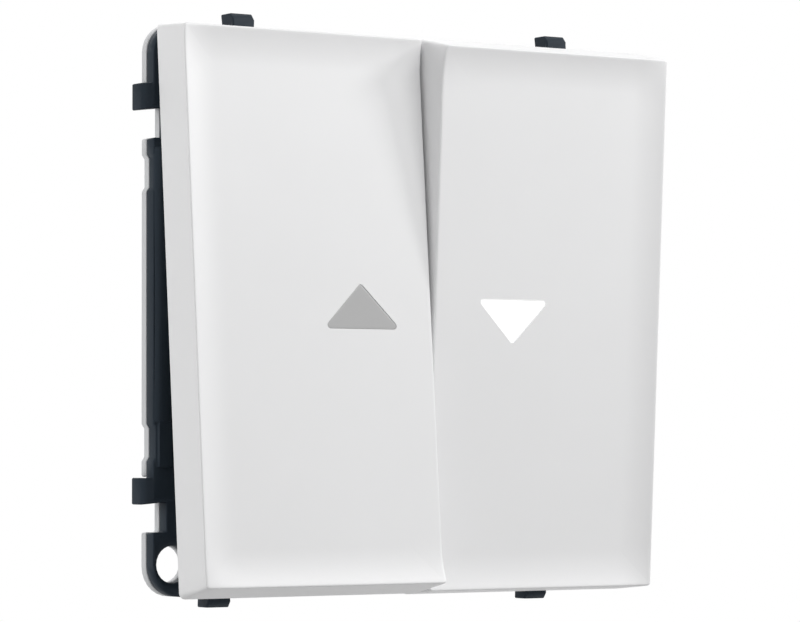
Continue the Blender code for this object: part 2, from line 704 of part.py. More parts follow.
def triangle(width, height, way, centre_x, grow=0.0):
    """A rounded triangle that points up or down, its outline moved out by grow."""
    half = width / 2
    slant = math.hypot(half, height)
    inner_radius = half * height / (half + slant)
    share = (inner_radius + grow) / inner_radius
    heart = MARK_RISE - height / 2 + inner_radius
    corners = [(x, z + MARK_RISE) for x, z in ((-half, -height / 2), (0.0, height / 2), (half, -height / 2))]
    points = []
    for x, z in corners:
        points.append((centre_x + x * share * way, way * (heart + (z - heart) * share), MARK_CORNER_RADIUS))
    return rounded(points)


def mark_way(side):
    """The left mark points up and the right one down."""
    return 1 if side < 0 else -1


def make_key(name, side, mark_x, pivot):
    """The key: a dished face with drafted walls, open at the back, with four clip hooks."""
    across, along = key_stations()
    across = sorted(side * x for x in across)
    bm = bmesh.new()
    grid = [[bm.verts.new((x, -KEY_FRONT_DEPTH + dish(x, z), z)) for z in along] for x in across]
    for left, right in zip(grid, grid[1:]):
        for a, b, c, d in zip(left, left[1:], right[1:], right):
            bm.faces.new((a, b, c, d))
    rim = [edge for edge in bm.edges if edge.is_boundary]
    skirt = bmesh.ops.extrude_edge_only(bm, edges=rim)["geom"]
    draft = KEY_REAR_HALF_HEIGHT / KEY_FRONT_HALF_HEIGHT
    for vert in skirt:
        if isinstance(vert, bmesh.types.BMVert):
            vert.co.y = -KEY_REAR_DEPTH
            vert.co.z *= draft
            if abs(vert.co.x) > PAIR_HALF_WIDTH - FLUSH_GAP:
                vert.co.x = side * REAR_HALF_WIDTH
    bmesh.ops.recalc_face_normals(bm, faces=bm.faces)
    if sum(face.normal.y for face in bm.faces) > 0:
        bmesh.ops.reverse_faces(bm, faces=bm.faces)
    mesh = bpy.data.meshes.new(name)
    bm.to_mesh(mesh)
    bm.free()
    mesh.materials.append(WHITE)
    mesh.shade_smooth()
    mesh.set_sharp_from_angle(angle=math.radians(35))
    key = bpy.data.objects.new(name, mesh)
    key.parent = pivot
    PARTS.objects.link(key)
    wall = key.modifiers.new("wall", "SOLIDIFY")
    wall.thickness = KEY_WALL
    wall.offset = -1.0
    wall.use_even_offset = True
    bevelled(key, KEY_EDGE_ROUND)

    hooks = bmesh.new()
    for dx in (-HOOK_OFFSET, HOOK_OFFSET):
        for way in (-1, 1):
            x = side * GANG_X + dx
            inner = way * (CRADLE_HALF_HEIGHT + HOOK_GAP)
            outer = inner + way * HOOK_THICKNESS
            nib = inner - way * HOOK_NIB
            foot = CRADLE_BACK + SEAT_GAP + HOOK_NIB_HEIGHT
            profile = [
                (CEILING - KEY_WALL / 2, inner),
                (CEILING - KEY_WALL / 2, outer),
                (foot, outer),
                (foot, inner),
                (CRADLE_BACK + SEAT_GAP, nib),
                (CRADLE_BACK + SEAT_GAP, inner),
            ]
            face = hooks.faces.new([hooks.verts.new((x - HOOK_WIDTH / 2, y, z)) for y, z in profile])
            drawn = bmesh.ops.extrude_face_region(hooks, geom=[face])["geom"]
            moved = [item for item in drawn if isinstance(item, bmesh.types.BMVert)]
            bmesh.ops.translate(hooks, verts=moved, vec=(HOOK_WIDTH, 0.0, 0.0))
    boolean(key, solid(name + "_hooks", hooks, parent=pivot), "UNION")

    hole = bmesh.new()
    outline = triangle(MARK_WIDTH, MARK_HEIGHT, mark_way(side), side * mark_x, FLUSH_GAP)
    prism_in(hole, outline, -2 * KEY_FRONT_DEPTH, 0.0)
    boolean(key, solid(name + "_mark_hole", hole, parent=pivot), "DIFFERENCE")


def make_lens(name, side, mark_x, pivot, finish):
    """The light guide: a triangle that shows in the key's face, on a flange behind it."""
    bm = bmesh.new()
    front = -KEY_FRONT_DEPTH + DISH_DEPTH + MARK_RECESS
    outline = triangle(MARK_WIDTH, MARK_HEIGHT, mark_way(side), side * mark_x)
    prism_in(bm, outline, front, FLANGE_OF_LENS_BACK - LENS_FLANGE_THICKNESS / 2)
    lens = solid(name, bm, finish, pivot)
    flange = bmesh.new()
    centre = (side * mark_x, 0.0)
    outline = rectangle(LENS_FLANGE_WIDTH / 2, LENS_FLANGE_HEIGHT / 2, OUTLINE_ROUND, centre)
    prism_in(flange, outline, CEILING + FLUSH_GAP, FLANGE_OF_LENS_BACK)
    boolean(lens, solid(name + "_flange", flange, parent=pivot), "UNION")


def cheek_in(bm, near, far, top):
    """Adds a cheek: a tongue from the plane top to the axis, rounded about the axis."""
    turns = [math.pi * index / (ROUND // 2) for index in range(ROUND // 2 + 1)]
    profile = [(CHEEK_RADIUS * math.sin(t), CHEEK_RADIUS * math.cos(t)) for t in turns]
    profile += [(top, -CHEEK_RADIUS), (top, CHEEK_RADIUS)]
    face = bm.faces.new([bm.verts.new((near, y, z)) for y, z in profile])
    drawn = bmesh.ops.extrude_face_region(bm, geom=[face])["geom"]
    moved = [item for item in drawn if isinstance(item, bmesh.types.BMVert)]
    bmesh.ops.translate(bm, verts=moved, vec=(far - near, 0.0, 0.0))


def make_cradle(name, side, pivot):
    """The inner rocker: a plate, two cheeks with pivot pins, and the plunger's tube."""
    centre = side * GANG_X
    bm = bmesh.new()
    outline = rectangle(CRADLE_HALF_WIDTH, CRADLE_HALF_HEIGHT, OUTLINE_ROUND, (centre, 0.0))
    prism_in(bm, outline, CRADLE_FRONT, CRADLE_BACK)
    cradle = solid(name, bm, NATURAL, pivot)

    added = bmesh.new()
    inside = (CRADLE_FRONT + CRADLE_BACK) / 2
    for way in (-1, 1):
        outer = centre + way * (CRADLE_HALF_WIDTH - FLUSH_GAP)
        inner = outer - way * CHEEK_THICKNESS
        cheek_in(added, outer, inner, inside)
        pad_outer = centre + way * (CRADLE_HALF_WIDTH - SEAT_GAP)
        pad_inner = pad_outer - way * PAD_SIZE
        for turn in (-1, 1):
            z = turn * (CRADLE_HALF_HEIGHT - SEAT_GAP)
            edge = z - turn * PAD_SIZE
            low = (min(pad_outer, pad_inner), CEILING + SEAT_GAP, min(z, edge))
            box_in(added, low, (max(pad_outer, pad_inner), inside, max(z, edge)))
    boolean(cradle, solid(name + "_cheeks", added, parent=pivot), "UNION")

    turned = bmesh.new()
    for way in (-1, 1):
        outer = centre + way * CRADLE_HALF_WIDTH
        ends = (outer - way * CHEEK_THICKNESS / 2, 0.0, 0.0), (outer + way * PIN_LENGTH, 0.0, 0.0)
        rod_in(turned, PIN_RADIUS, *ends)
    tube_x = side * MECHANISM_X
    rod_in(turned, TUBE_RADIUS, (tube_x, inside, 0.0), (tube_x, TUBE_END, 0.0))
    boolean(cradle, solid(name + "_pins_and_tube", turned, parent=pivot), "UNION")

    cuts = bmesh.new()
    rod_in(cuts, BORE_RADIUS, (tube_x, CRADLE_BACK - BORE_FLOOR, 0.0), (tube_x, 2 * TUBE_END, 0.0))
    window = side * (LAMP_X + LAMP_WINDOW_WIDTH / 4)
    low = (window - LAMP_WINDOW_WIDTH / 2, CRADLE_FRONT - SEAT_GAP, -LAMP_WINDOW_HEIGHT / 2)
    high = (window + LAMP_WINDOW_WIDTH / 2, CRADLE_BACK + SEAT_GAP, LAMP_WINDOW_HEIGHT / 2)
    box_in(cuts, low, high)
    boolean(cradle, solid(name + "_bore_and_window", cuts, parent=pivot), "DIFFERENCE")


def make_plunger(name, side, pivot):
    """The plunger: a turned cup with a domed tip, its profile run top to bottom."""
    wall = PLUNGER_RADIUS
    dome = [
        (wall * math.cos(angle), PLUNGER_TIP - PLUNGER_TIP_RADIUS * (1 - math.sin(angle)))
        for angle in (math.radians(a) for a in (0, 30, 60))
    ]
    profile = [(0.0, PLUNGER_TIP)] + dome[::-1] + [
        (wall, PLUNGER_START),
        (PLUNGER_BORE_RADIUS, PLUNGER_START),
        (PLUNGER_BORE_RADIUS, PLUNGER_START + PLUNGER_BORE_DEPTH),
        (0.0, PLUNGER_START + PLUNGER_BORE_DEPTH),
    ]
    bm = bmesh.new()
    points = [bm.verts.new((radius, 0.0, height)) for radius, height in profile]
    edges = [bm.edges.new(pair) for pair in zip(points, points[1:])]
    bmesh.ops.spin(
        bm,
        geom=points + edges,
        cent=(0.0, 0.0, 0.0),
        axis=(0.0, 0.0, 1.0),
        angle=2 * math.pi,
        steps=ROUND,
        use_merge=True,
    )
    bmesh.ops.remove_doubles(bm, verts=bm.verts, dist=1e-6)
    along_y = Matrix.Translation((side * MECHANISM_X, 0.0, 0.0)) @ Matrix.Rotation(-math.pi / 2, 4, "X")
    bmesh.ops.transform(bm, matrix=along_y, verts=bm.verts)
    solid(name, bm, NATURAL, pivot)


def make_spring(name, side, pivot):
    """The plunger's coil spring, from the bore's floor to the bottom of the plunger's cup."""
    start = CRADLE_BACK - BORE_FLOOR + SPRING_WIRE_RADIUS + SLIDING_GAP
    end = PLUNGER_START + PLUNGER_BORE_DEPTH - SPRING_WIRE_RADIUS - SLIDING_GAP
    curve = bpy.data.curves.new(name, "CURVE")
    curve.dimensions = "3D"
    curve.bevel_depth = SPRING_WIRE_RADIUS
    curve.bevel_resolution = 2
    curve.use_fill_caps = True
    spline = curve.splines.new("POLY")
    count = SPRING_TURNS * SPRING_POINTS_PER_TURN
    spline.points.add(count)
    for index, point in enumerate(spline.points):
        share = index / count
        angle = 2 * math.pi * SPRING_TURNS * share
        x = side * MECHANISM_X + SPRING_MEAN_RADIUS * math.cos(angle)
        z = SPRING_MEAN_RADIUS * math.sin(angle)
        point.co = (x, start + (end - start) * share, z, 1.0)
    curve.materials.append(STEEL)
    spring = bpy.data.objects.new(name, curve)
    spring.parent = pivot
    PARTS.objects.link(spring)


def make_seesaw(name, side, fulcrum):
    """The rocking contact: a flat blade with a domed contact under each end."""
    x = side * MECHANISM_X
    bm = bmesh.new()
    half = SEESAW_WIDTH / 2
    outline = rectangle(half, SEESAW_HALF_LENGTH, half / 2, (x, 0.0))
    prism_in(bm, outline, -SEESAW_THICKNESS, 0.0)
    blade = solid(name, bm, COPPER, fulcrum)
    contacts = bmesh.new()
    for z in (-CONTACT_OFFSET, CONTACT_OFFSET):
        rod_in(
            contacts,
            CONTACT_RADIUS,
            (x, -SEESAW_THICKNESS / 2, z),
            (x, MOVING_CONTACT_HEIGHT, z),
            SMALL_ROUND,
            CONTACT_RADIUS * 0.7,
        )
    boolean(blade, solid(name + "_contacts", contacts, parent=fulcrum), "UNION")


def strip(name, outline, additions, screw_at):
    """A terminal strip: a flat outline with raised features and a threaded hole."""
    bm = bmesh.new()
    prism_in(bm, outline, STRIP_FRONT, STRIP_BACK)
    made = solid(name, bm, BRASS)
    boolean(made, solid(name + "_features", additions), "UNION")
    hole = bmesh.new()
    x, z = screw_at
    ends = (x, STRIP_FRONT - STRIP_THICKNESS, z), (x, STRIP_BACK + STRIP_THICKNESS, z)
    rod_in(hole, CLAMP_SCREW_RADIUS + RUNNING_GAP, *ends, SMALL_ROUND)
    boolean(made, solid(name + "_hole", hole), "DIFFERENCE")


def make_contact_strip(name, side, way):
    """A fixed contact and its terminal, at the top (way 1) or the bottom (way -1)."""
    x = side * MECHANISM_X
    near = way * (CONTACT_OFFSET - 1.2 * CONTACT_RADIUS)
    far = way * (TERMINAL_Z + CLAMP_SIZE / 2 - SEAT_GAP)
    middle = (near + far) / 2
    shift = side * (OUTER_TERMINAL_X - MECHANISM_X)
    half_length = abs(far - near) / 2
    half_width = STRIP_WIDTH / 2 + abs(shift)
    outline = rectangle(half_width, half_length, OUTLINE_ROUND, (x, middle))
    contact = bmesh.new()
    rod_in(
        contact,
        CONTACT_RADIUS,
        (x, (STRIP_FRONT + STRIP_BACK) / 2, way * CONTACT_OFFSET + PIVOT_Z),
        (x, FIXED_CONTACT_FRONT, way * CONTACT_OFFSET + PIVOT_Z),
        SMALL_ROUND,
        CONTACT_RADIUS * 0.8,
    )
    strip(name, outline, contact, (side * OUTER_TERMINAL_X, way * TERMINAL_Z))


def make_common_strip(name, side):
    """The common terminal: an L-shaped strip with the blade's fulcrum and guide lugs."""
    outer = BLADE_SIDE
    inner_high = INNER_TERMINAL_X + COMMON_STRIP_WIDTH / 2
    inner_low = INNER_TERMINAL_X - COMMON_STRIP_WIDTH / 2
    half = COMMON_STRIP_WIDTH / 2
    foot = -(TERMINAL_Z + CLAMP_SIZE / 2 - SEAT_GAP)
    corners = [
        (inner_low, half + PIVOT_Z),
        (outer, half + PIVOT_Z),
        (outer, -half + PIVOT_Z),
        (inner_high, -half + PIVOT_Z),
        (inner_high, foot),
        (inner_low, foot),
    ]
    outline = [(side * x, z) for x, z in corners]
    features = bmesh.new()
    x = side * MECHANISM_X
    inside = (STRIP_FRONT + STRIP_BACK) / 2
    ridge = SEESAW_WIDTH / 2
    low = (x - ridge, SEESAW_AXIS_Y + SEAT_GAP, PIVOT_Z - LUG_HALF_HEIGHT / 3)
    box_in(features, low, (x + ridge, inside, PIVOT_Z + LUG_HALF_HEIGHT / 3))
    for way in (-1, 1):
        near = x + way * (SEESAW_WIDTH / 2 + SEAT_GAP)
        far = near + way * LUG_THICKNESS
        low = (min(near, far), SEESAW_FRONT - LUG_RISE, PIVOT_Z - LUG_HALF_HEIGHT)
        box_in(features, low, (max(near, far), inside, PIVOT_Z + LUG_HALF_HEIGHT))
    strip(name, outline, features, (side * INNER_TERMINAL_X, -TERMINAL_Z))


def make_clamp(name, x, z):
    """A square clamp plate with its screw's hole."""
    bm = bmesh.new()
    half = CLAMP_SIZE / 2
    prism_in(bm, rectangle(half, half, OUTLINE_ROUND, (x, z)), CLAMP_FRONT, CLAMP_BACK)
    clamp = solid(name, bm, STEEL)
    hole = bmesh.new()
    ends = (x, CLAMP_FRONT - CLAMP_THICKNESS, z), (x, CLAMP_BACK + CLAMP_THICKNESS, z)
    rod_in(hole, CLAMP_SCREW_RADIUS + SLIDING_GAP, *ends, SMALL_ROUND)
    boolean(clamp, solid(name + "_hole", hole), "DIFFERENCE")


def make_screw(name, place, head_front, head_radius, head_height, radius, tail):
    """A pan-head screw along Y, its head to the back, with a cross slot."""
    x, z = place
    bm = bmesh.new()
    head_back = head_front + head_height
    rod_in(bm, head_radius, (x, head_front, z), (x, head_back, z), ROUND, head_radius * 0.85)
    screw = solid(name, bm, STEEL)
    shank = bmesh.new()
    rod_in(shank, radius, (x, head_front + head_height / 2, z), (x, tail, z), SMALL_ROUND)
    boolean(screw, solid(name + "_shank", shank), "UNION")
    cross = bmesh.new()
    reach = head_radius * 0.6
    half = SCREW_SLOT_WIDTH / 2
    deep = head_back - SCREW_SLOT_DEPTH
    corners = (
        (-half, reach), (half, reach), (half, half), (reach, half), (reach, -half), (half, -half),
        (half, -reach), (-half, -reach), (-half, -half), (-reach, -half), (-reach, half), (-half, half),
    )
    prism_in(cross, [(x + dx, z + dz) for dx, dz in corners], deep, head_back + head_height)
    boolean(screw, solid(name + "_slot", cross), "DIFFERENCE")


def make_lamps():
    """The indicator board with a lamp behind each key's light guide."""
    bm = bmesh.new()
    outline = rectangle(BOARD_HALF_WIDTH, BOARD_HALF_HEIGHT, OUTLINE_ROUND)
    prism_in(bm, outline, BOARD_FRONT, BOARD_BACK)
    solid("lamp_board", bm, BOARD_GREEN)
    for word, side, _, _ in SIDES:
        lamp = bmesh.new()
        x = side * LAMP_X
        back = BOARD_FRONT - FLUSH_GAP
        low = (x - LAMP_WIDTH / 2, back - LAMP_DEPTH, -LAMP_HEIGHT / 2)
        box_in(lamp, low, (x + LAMP_WIDTH / 2, back, LAMP_HEIGHT / 2))
        solid("lamp_" + word, lamp, PALE)
        pin = bmesh.new()
        start = (side * INNER_TERMINAL_X, BOARD_BACK + SLIDING_GAP, PIVOT_Z)
        end = (side * INNER_TERMINAL_X, STRIP_FRONT - SLIDING_GAP, PIVOT_Z)
        rod_in(pin, LAMP_PIN_RADIUS, start, end, SMALL_ROUND)
        solid("lamp_pin_" + word, pin, BRASS)


def make_fasteners():
    """Clamps and their screws in the wells, and the screws that hold the housing."""
    names = {1: "upper", -1: "lower"}
    for x, z, way in wells():
        word = "left" if x < 0 else "right"
        place = "common" if abs(x) < (INNER_TERMINAL_X + OUTER_TERMINAL_X) / 2 else names[way]
        make_clamp(f"clamp_{place}_{word}", x, z)
        make_screw(
            f"clamp_screw_{place}_{word}",
            (x, z),
            CLAMP_HEAD_FRONT,
            CLAMP_SCREW_HEAD_RADIUS,
            CLAMP_SCREW_HEAD_HEIGHT,
            CLAMP_SCREW_RADIUS,
            STRIP_FRONT - CLAMP_SCREW_TAIL,
        )
    for word, sign in (("left", -1), ("right", 1)):
        for place, way in (("upper", 1), ("lower", -1)):
            make_screw(
                f"housing_screw_{place}_{word}",
                (sign * BOSS_OFFSET, way * BOSS_OFFSET),
                FLANGE_BACK + SEAT_GAP,
                HOUSING_SCREW_HEAD_RADIUS,
                HOUSING_SCREW_HEAD_HEIGHT,
                HOUSING_SCREW_RADIUS,
                CARRIER_FRONT - BOSS_HEIGHT + 2 * SEAT_GAP,
            )


def make_gang(word, side, tilt, mark_x):
    """One gang: everything that rocks, and the terminals it switches between."""
    pivot = empty("pivot_" + word, (0.0, PIVOT_Y, PIVOT_Z), tilt)
    make_key("key_" + word, side, mark_x, pivot)
    make_lens("lens_" + word, side, mark_x, pivot, DULL_LENS if side < 0 else LIT_LENS)
    make_cradle("cradle_" + word, side, pivot)
    make_plunger("plunger_" + word, side, pivot)
    make_spring("spring_" + word, side, pivot)
    fulcrum = empty("fulcrum_" + word, (0.0, SEESAW_AXIS_Y, PIVOT_Z), tilt * SEESAW_TO_KEY_RATIO)
    make_seesaw("seesaw_" + word, side, fulcrum)
    make_contact_strip("upper_terminal_" + word, side, 1)
    make_contact_strip("lower_terminal_" + word, side, -1)
    make_common_strip("common_terminal_" + word, side)


for leftover in list(bpy.data.objects):
    bpy.data.objects.remove(leftover, do_unlink=True)
PARTS = collection("two_gang_switch")
TOOLS = collection("cutters")
WHITE = material("white_key_plastic", (0.86, 0.86, 0.86), 0.35)
PALE = material("pale_grey_plastic", (0.62, 0.64, 0.66), 0.5)
SLATE = material("slate_plastic", (0.045, 0.06, 0.075), 0.5)
GRAPHITE = material("graphite_plastic", (0.03, 0.033, 0.037), 0.55)
NATURAL = material("natural_plastic", (0.75, 0.74, 0.7), 0.45)
DULL_LENS = material("unlit_light_guide", (0.42, 0.42, 0.42), 0.3)
LIT_LENS = material("lit_light_guide", (0.95, 0.95, 0.95), 0.3)
BOARD_GREEN = material("board_laminate", (0.03, 0.2, 0.1), 0.5)
STEEL = material("zinc_steel", (0.62, 0.63, 0.65), 0.35, 1.0)
BRASS = material("brass", (0.75, 0.58, 0.28), 0.35, 1.0)
COPPER = material("copper", (0.78, 0.42, 0.28), 0.35, 1.0)

make_backing_plate()
make_carrier()
make_housing()
for gang in SIDES:
    make_gang(*gang)
make_lamps()
make_fasteners()
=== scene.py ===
# %% [markdown]
# # A two-gang rocker switch, dressed
#
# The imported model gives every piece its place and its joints. This lesson gives it its looks:
# the keys get finely shaped shells, the small hardware gets smooth turned shapes, and every
# surface gets a procedural finish. All lengths are in metres.

import json
import math

import bmesh
import bpy
import numpy as np
from mathutils import Matrix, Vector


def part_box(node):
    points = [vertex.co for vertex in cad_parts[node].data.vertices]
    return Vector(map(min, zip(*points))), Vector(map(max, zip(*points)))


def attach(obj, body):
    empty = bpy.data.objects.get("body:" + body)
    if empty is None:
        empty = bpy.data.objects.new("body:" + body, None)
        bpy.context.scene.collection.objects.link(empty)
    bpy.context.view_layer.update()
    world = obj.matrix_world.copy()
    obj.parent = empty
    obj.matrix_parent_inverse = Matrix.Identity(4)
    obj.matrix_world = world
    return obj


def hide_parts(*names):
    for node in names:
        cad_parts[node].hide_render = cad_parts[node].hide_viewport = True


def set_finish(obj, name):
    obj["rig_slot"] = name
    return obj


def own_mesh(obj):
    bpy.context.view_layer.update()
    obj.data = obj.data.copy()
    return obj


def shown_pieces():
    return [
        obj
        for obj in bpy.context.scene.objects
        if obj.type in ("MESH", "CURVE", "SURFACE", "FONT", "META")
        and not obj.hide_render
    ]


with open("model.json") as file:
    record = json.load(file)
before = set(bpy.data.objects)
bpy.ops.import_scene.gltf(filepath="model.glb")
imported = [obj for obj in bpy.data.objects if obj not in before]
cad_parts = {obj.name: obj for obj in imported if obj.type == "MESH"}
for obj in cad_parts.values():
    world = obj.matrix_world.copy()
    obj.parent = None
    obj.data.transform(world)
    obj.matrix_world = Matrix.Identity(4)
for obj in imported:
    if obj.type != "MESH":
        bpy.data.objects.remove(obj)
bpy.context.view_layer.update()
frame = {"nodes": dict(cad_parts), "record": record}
nodes = frame["nodes"]

# %% [markdown]
# ## Two surface tools
#
# Nearly every moulded or turned piece can be seen as a stack of closed rings: the outline of the
# piece, drawn again and again while it grows, sinks and shrinks. Stacking rings keeps each shape a
# plain array, so one helper turns any stack into a closed mesh. The other helper draws the most
# common outline of all, a rectangle with rounded corners.

# %% Rings to mesh
MM = 0.001
MERGE_DISTANCE = 1e-7


def from_rings(name, rings, body, slot, smooth_angle=40):
    """A closed mesh from an array of rings, shaped (rings, points, 3).

    Ring i joins ring i + 1 with quads, point j to point j + 1, and the last point to the first.
    The first and the last ring are closed with one face each.
    """
    count, around = rings.shape[:2]
    index = np.arange(count * around).reshape(count, around)
    after = np.roll(index, -1, axis=1)
    quads = np.stack([index[:-1], after[:-1], after[1:], index[1:]], axis=-1).reshape(-1, 4)
    faces = quads.tolist() + [index[0, ::-1].tolist(), index[-1].tolist()]
    mesh = bpy.data.meshes.new(name)
    mesh.from_pydata(rings.reshape(-1, 3).tolist(), [], faces)
    skin = bmesh.new()
    skin.from_mesh(mesh)
    bmesh.ops.remove_doubles(skin, verts=skin.verts, dist=MERGE_DISTANCE)
    bmesh.ops.recalc_face_normals(skin, faces=skin.faces)
    skin.to_mesh(mesh)
    skin.free()
    mesh.shade_smooth()
    mesh.set_sharp_from_angle(angle=math.radians(smooth_angle))
    piece = bpy.data.objects.new(name, mesh)
    bpy.context.scene.collection.objects.link(piece)
    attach(piece, body)
    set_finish(piece, slot)
    return piece


def rounded_rectangle(low, high, radius, side_points=24, corner_points=7):
    """The (points, 2) outline of a rectangle from low to high, its corners arcs of that radius.

    Each corner's arc is centre + radius * (cos a, sin a) over a quarter turn, and the straight
    stretch to the next corner is divided evenly.
    """
    low, high = np.array(low, float), np.array(high, float)
    radius = min(radius, *(0.499 * (high - low)))
    centres = np.array([[high[0], high[1]], [low[0], high[1]], [low[0], low[1]], [high[0], low[1]]])
    centres += np.array([[-1, -1], [1, -1], [1, 1], [-1, 1]]) * radius
    quarter = np.linspace(0, math.pi / 2, corner_points)
    angles = quarter + np.arange(4)[:, None] * math.pi / 2
    arcs = centres[:, None] + radius * np.stack([np.cos(angles), np.sin(angles)], axis=-1)
    start, end = arcs[:, -1], np.roll(arcs[:, 0], -1, axis=0)
    share = np.linspace(0, 1, side_points + 1)[1:-1, None]
    sides = start[:, None] * (1 - share) + end[:, None] * share
    return np.concatenate([arcs, sides], axis=1).reshape(-1, 2)


# %% [markdown]
# ## The rocker keys
#
# A key is a thin white shell, open at the back. Its face is slightly dished: it rises towards the
# top, the bottom and the outer side, and runs flat into the seam between the two keys. The rings
# start in the middle of the face, run out over the rim, down the drafted side, round the back edge
# and up again inside.

# %% Sizes of a key
PAIR_HALF_WIDTH = 22.4 * MM
REAR_HALF_WIDTH = 22.45 * MM
SEAM = 0.15 * MM
HALF_HEIGHT = 21.8 * MM
REAR_HALF_HEIGHT = 22.38 * MM
FACE_DEPTH = 5.26 * MM
BACK_DEPTH = 1.25 * MM
WALL = 1.2 * MM
DISH_DEPTH = 0.55 * MM
DISH_RIM = 3.0 * MM
EDGE = 0.18 * MM
BACK_EDGE = 0.08 * MM
BACK_EDGE_DEPTH = 0.05 * MM
CORNER = 0.3 * MM
REAR_CORNER = 0.5 * MM
LEAST_CORNER = 0.02 * MM
POINT_SIZE = 0.02
CEILING_STEP = 0.2 * MM
PIVOT = np.array([0.0, -2.74, -0.31]) * MM
TILT = {"left": math.radians(-4.45), "right": math.radians(3.38)}
SIDE = {"left": -1.0, "right": 1.0}
print("pair of keys:", 2 * PAIR_HALF_WIDTH, "wide,", 2 * HALF_HEIGHT, "tall")


# %% Dish and outline of a key
def fall(distance):
    """How far the face has sunk at a distance from its rim: 1 - (1 - distance / DISH_RIM)^2."""
    left = np.clip(1.0 - distance / DISH_RIM, 0.0, 1.0)
    return 1.0 - left * left


def dish(x, z):
    """The face's sink below its rim: the fall in from the outer side times the fall from an end."""
    return DISH_DEPTH * fall(PAIR_HALF_WIDTH - np.abs(x)) * fall(HALF_HEIGHT - np.abs(z))


def placed(points, side):
    """Turns points of a key's own space by its tilt about the pivot and sets them at the pivot."""
    tilt = TILT[side]
    x, y, z = points[..., 0], points[..., 1], points[..., 2]
    turned = [x, y * np.cos(tilt) - z * np.sin(tilt), y * np.sin(tilt) + z * np.cos(tilt)]
    return np.stack(turned, axis=-1) + PIVOT


def key_outline(side, inset, back):
    """A key's outline moved in by inset; back is 0 at the face's plane and 1 at the rear edge."""
    wide = PAIR_HALF_WIDTH + (REAR_HALF_WIDTH - PAIR_HALF_WIDTH) * back
    tall = HALF_HEIGHT + (REAR_HALF_HEIGHT - HALF_HEIGHT) * back
    low = np.array([SEAM + inset, -tall + inset])
    high = np.array([wide - inset, tall - inset])
    corner = CORNER + (REAR_CORNER - CORNER) * back
    outline = rounded_rectangle(low, high, max(corner - inset, LEAST_CORNER), 40, 5)
    if side == "left":
        outline = outline * [-1.0, 1.0]
    return outline


def key_ring(side, inset, y, back, follow):
    """One ring: the outline at a depth y, which follows the dish by the share follow."""
    outline = key_outline(side, inset, back)
    depth = y + follow * dish(outline[:, 0], outline[:, 1])
    return np.column_stack([outline[:, 0], depth, outline[:, 1]])


# %% Rings of a key
def face_rings(side):
    """The dished face, from a point in its middle out to the rounded edge of its rim.

    The inner rings shrink towards the middle. The edge is a quarter circle: for the angle t, the
    inset is EDGE * (1 - sin t) and the sink is EDGE * (1 - cos t).
    """
    middle = key_ring(side, DISH_RIM, -FACE_DEPTH, 0.0, 1.0)
    centre = middle.mean(axis=0)
    rings = []
    for share in np.linspace(POINT_SIZE, 1.0, 10)[:-1]:
        flat = centre + (middle - centre) * share
        flat[:, 1] = -FACE_DEPTH + dish(flat[:, 0], flat[:, 2])
        rings.append(flat)
    for inset in np.linspace(DISH_RIM, EDGE, 16):
        rings.append(key_ring(side, inset, -FACE_DEPTH, 0.0, 1.0))
    for turn in np.linspace(0, math.pi / 2, 6)[1:]:
        inset, sink = EDGE * (1 - math.sin(turn)), EDGE * (1 - math.cos(turn))
        rings.append(key_ring(side, inset, -FACE_DEPTH + sink, 0.0, 1.0))
    return rings


def wall_rings(side):
    """The drafted wall: down its outside, round the back edge, and up its inside.

    Each share is a part of the way from the face to the back edge.
    """
    depth = FACE_DEPTH - BACK_DEPTH
    rings = []
    for share in (0.3, 0.6, 0.9, 0.97, 1.0):
        rings.append(key_ring(side, 0.0, -FACE_DEPTH + depth * share, share, (1 - share) ** 2))
    for inset in (BACK_EDGE, WALL - BACK_EDGE):
        rings.append(key_ring(side, inset, -BACK_DEPTH + BACK_EDGE_DEPTH, 1.0, 0.0))
    for share in (0.97, 0.6, 0.36):
        rings.append(key_ring(side, WALL, -FACE_DEPTH + depth * share, share, 0.0))
    return rings


def ceiling_rings(side):
    """The inside of the face, which follows the dish at the distance of the wall's thickness."""
    rings = []
    for inset in (WALL + CEILING_STEP, DISH_RIM):
        rings.append(key_ring(side, inset, -FACE_DEPTH + WALL, 0.0, 1.0))
    inner = rings[-1]
    centre = inner.mean(axis=0)
    for share in (0.6, POINT_SIZE):
        rings.append(centre + (inner - centre) * share)
    return rings


# %% Key shells
key_pieces = {}
for side in SIDE:
    rings = np.stack(face_rings(side) + wall_rings(side) + ceiling_rings(side))
    shell = from_rings(f"key_shell_{side}", placed(rings, side), f"key_{side}", "white_key_plastic", 50)
    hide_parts(f"key_{side}")
    key_pieces[side] = shell
    print(shell.name, "faces:", len(shell.data.polygons))

# %% [markdown]
# ## The marks
#
# Each key carries a small triangular light guide, set a little below the face. The key's opening
# is cut with a Boolean, because a ring surface has no way to hold a hole of another shape. The
# light guide itself is a stack of triangles: a top with softened edges, and straight sides.

# %% Triangles
MARK_WIDTH = 7.2 * MM
MARK_HEIGHT = 3.6 * MM
MARK_X = {"left": -6.82 * MM, "right": 7.87 * MM}
MARK_POINTS = {"left": 1.0, "right": -1.0}
MARK_CORNER = 0.25 * MM
MARK_RISE = 0.18 * MM
MARK_RECESS = {"left": 0.03 * MM, "right": 0.1 * MM}
MARK_EDGE = 0.04 * MM
MARK_TOP_INSET = 0.2 * MM
MARK_GAP = 0.02 * MM
MARK_TAIL = 0.5 * MM
SMOOTH_ANGLE = math.radians(40)


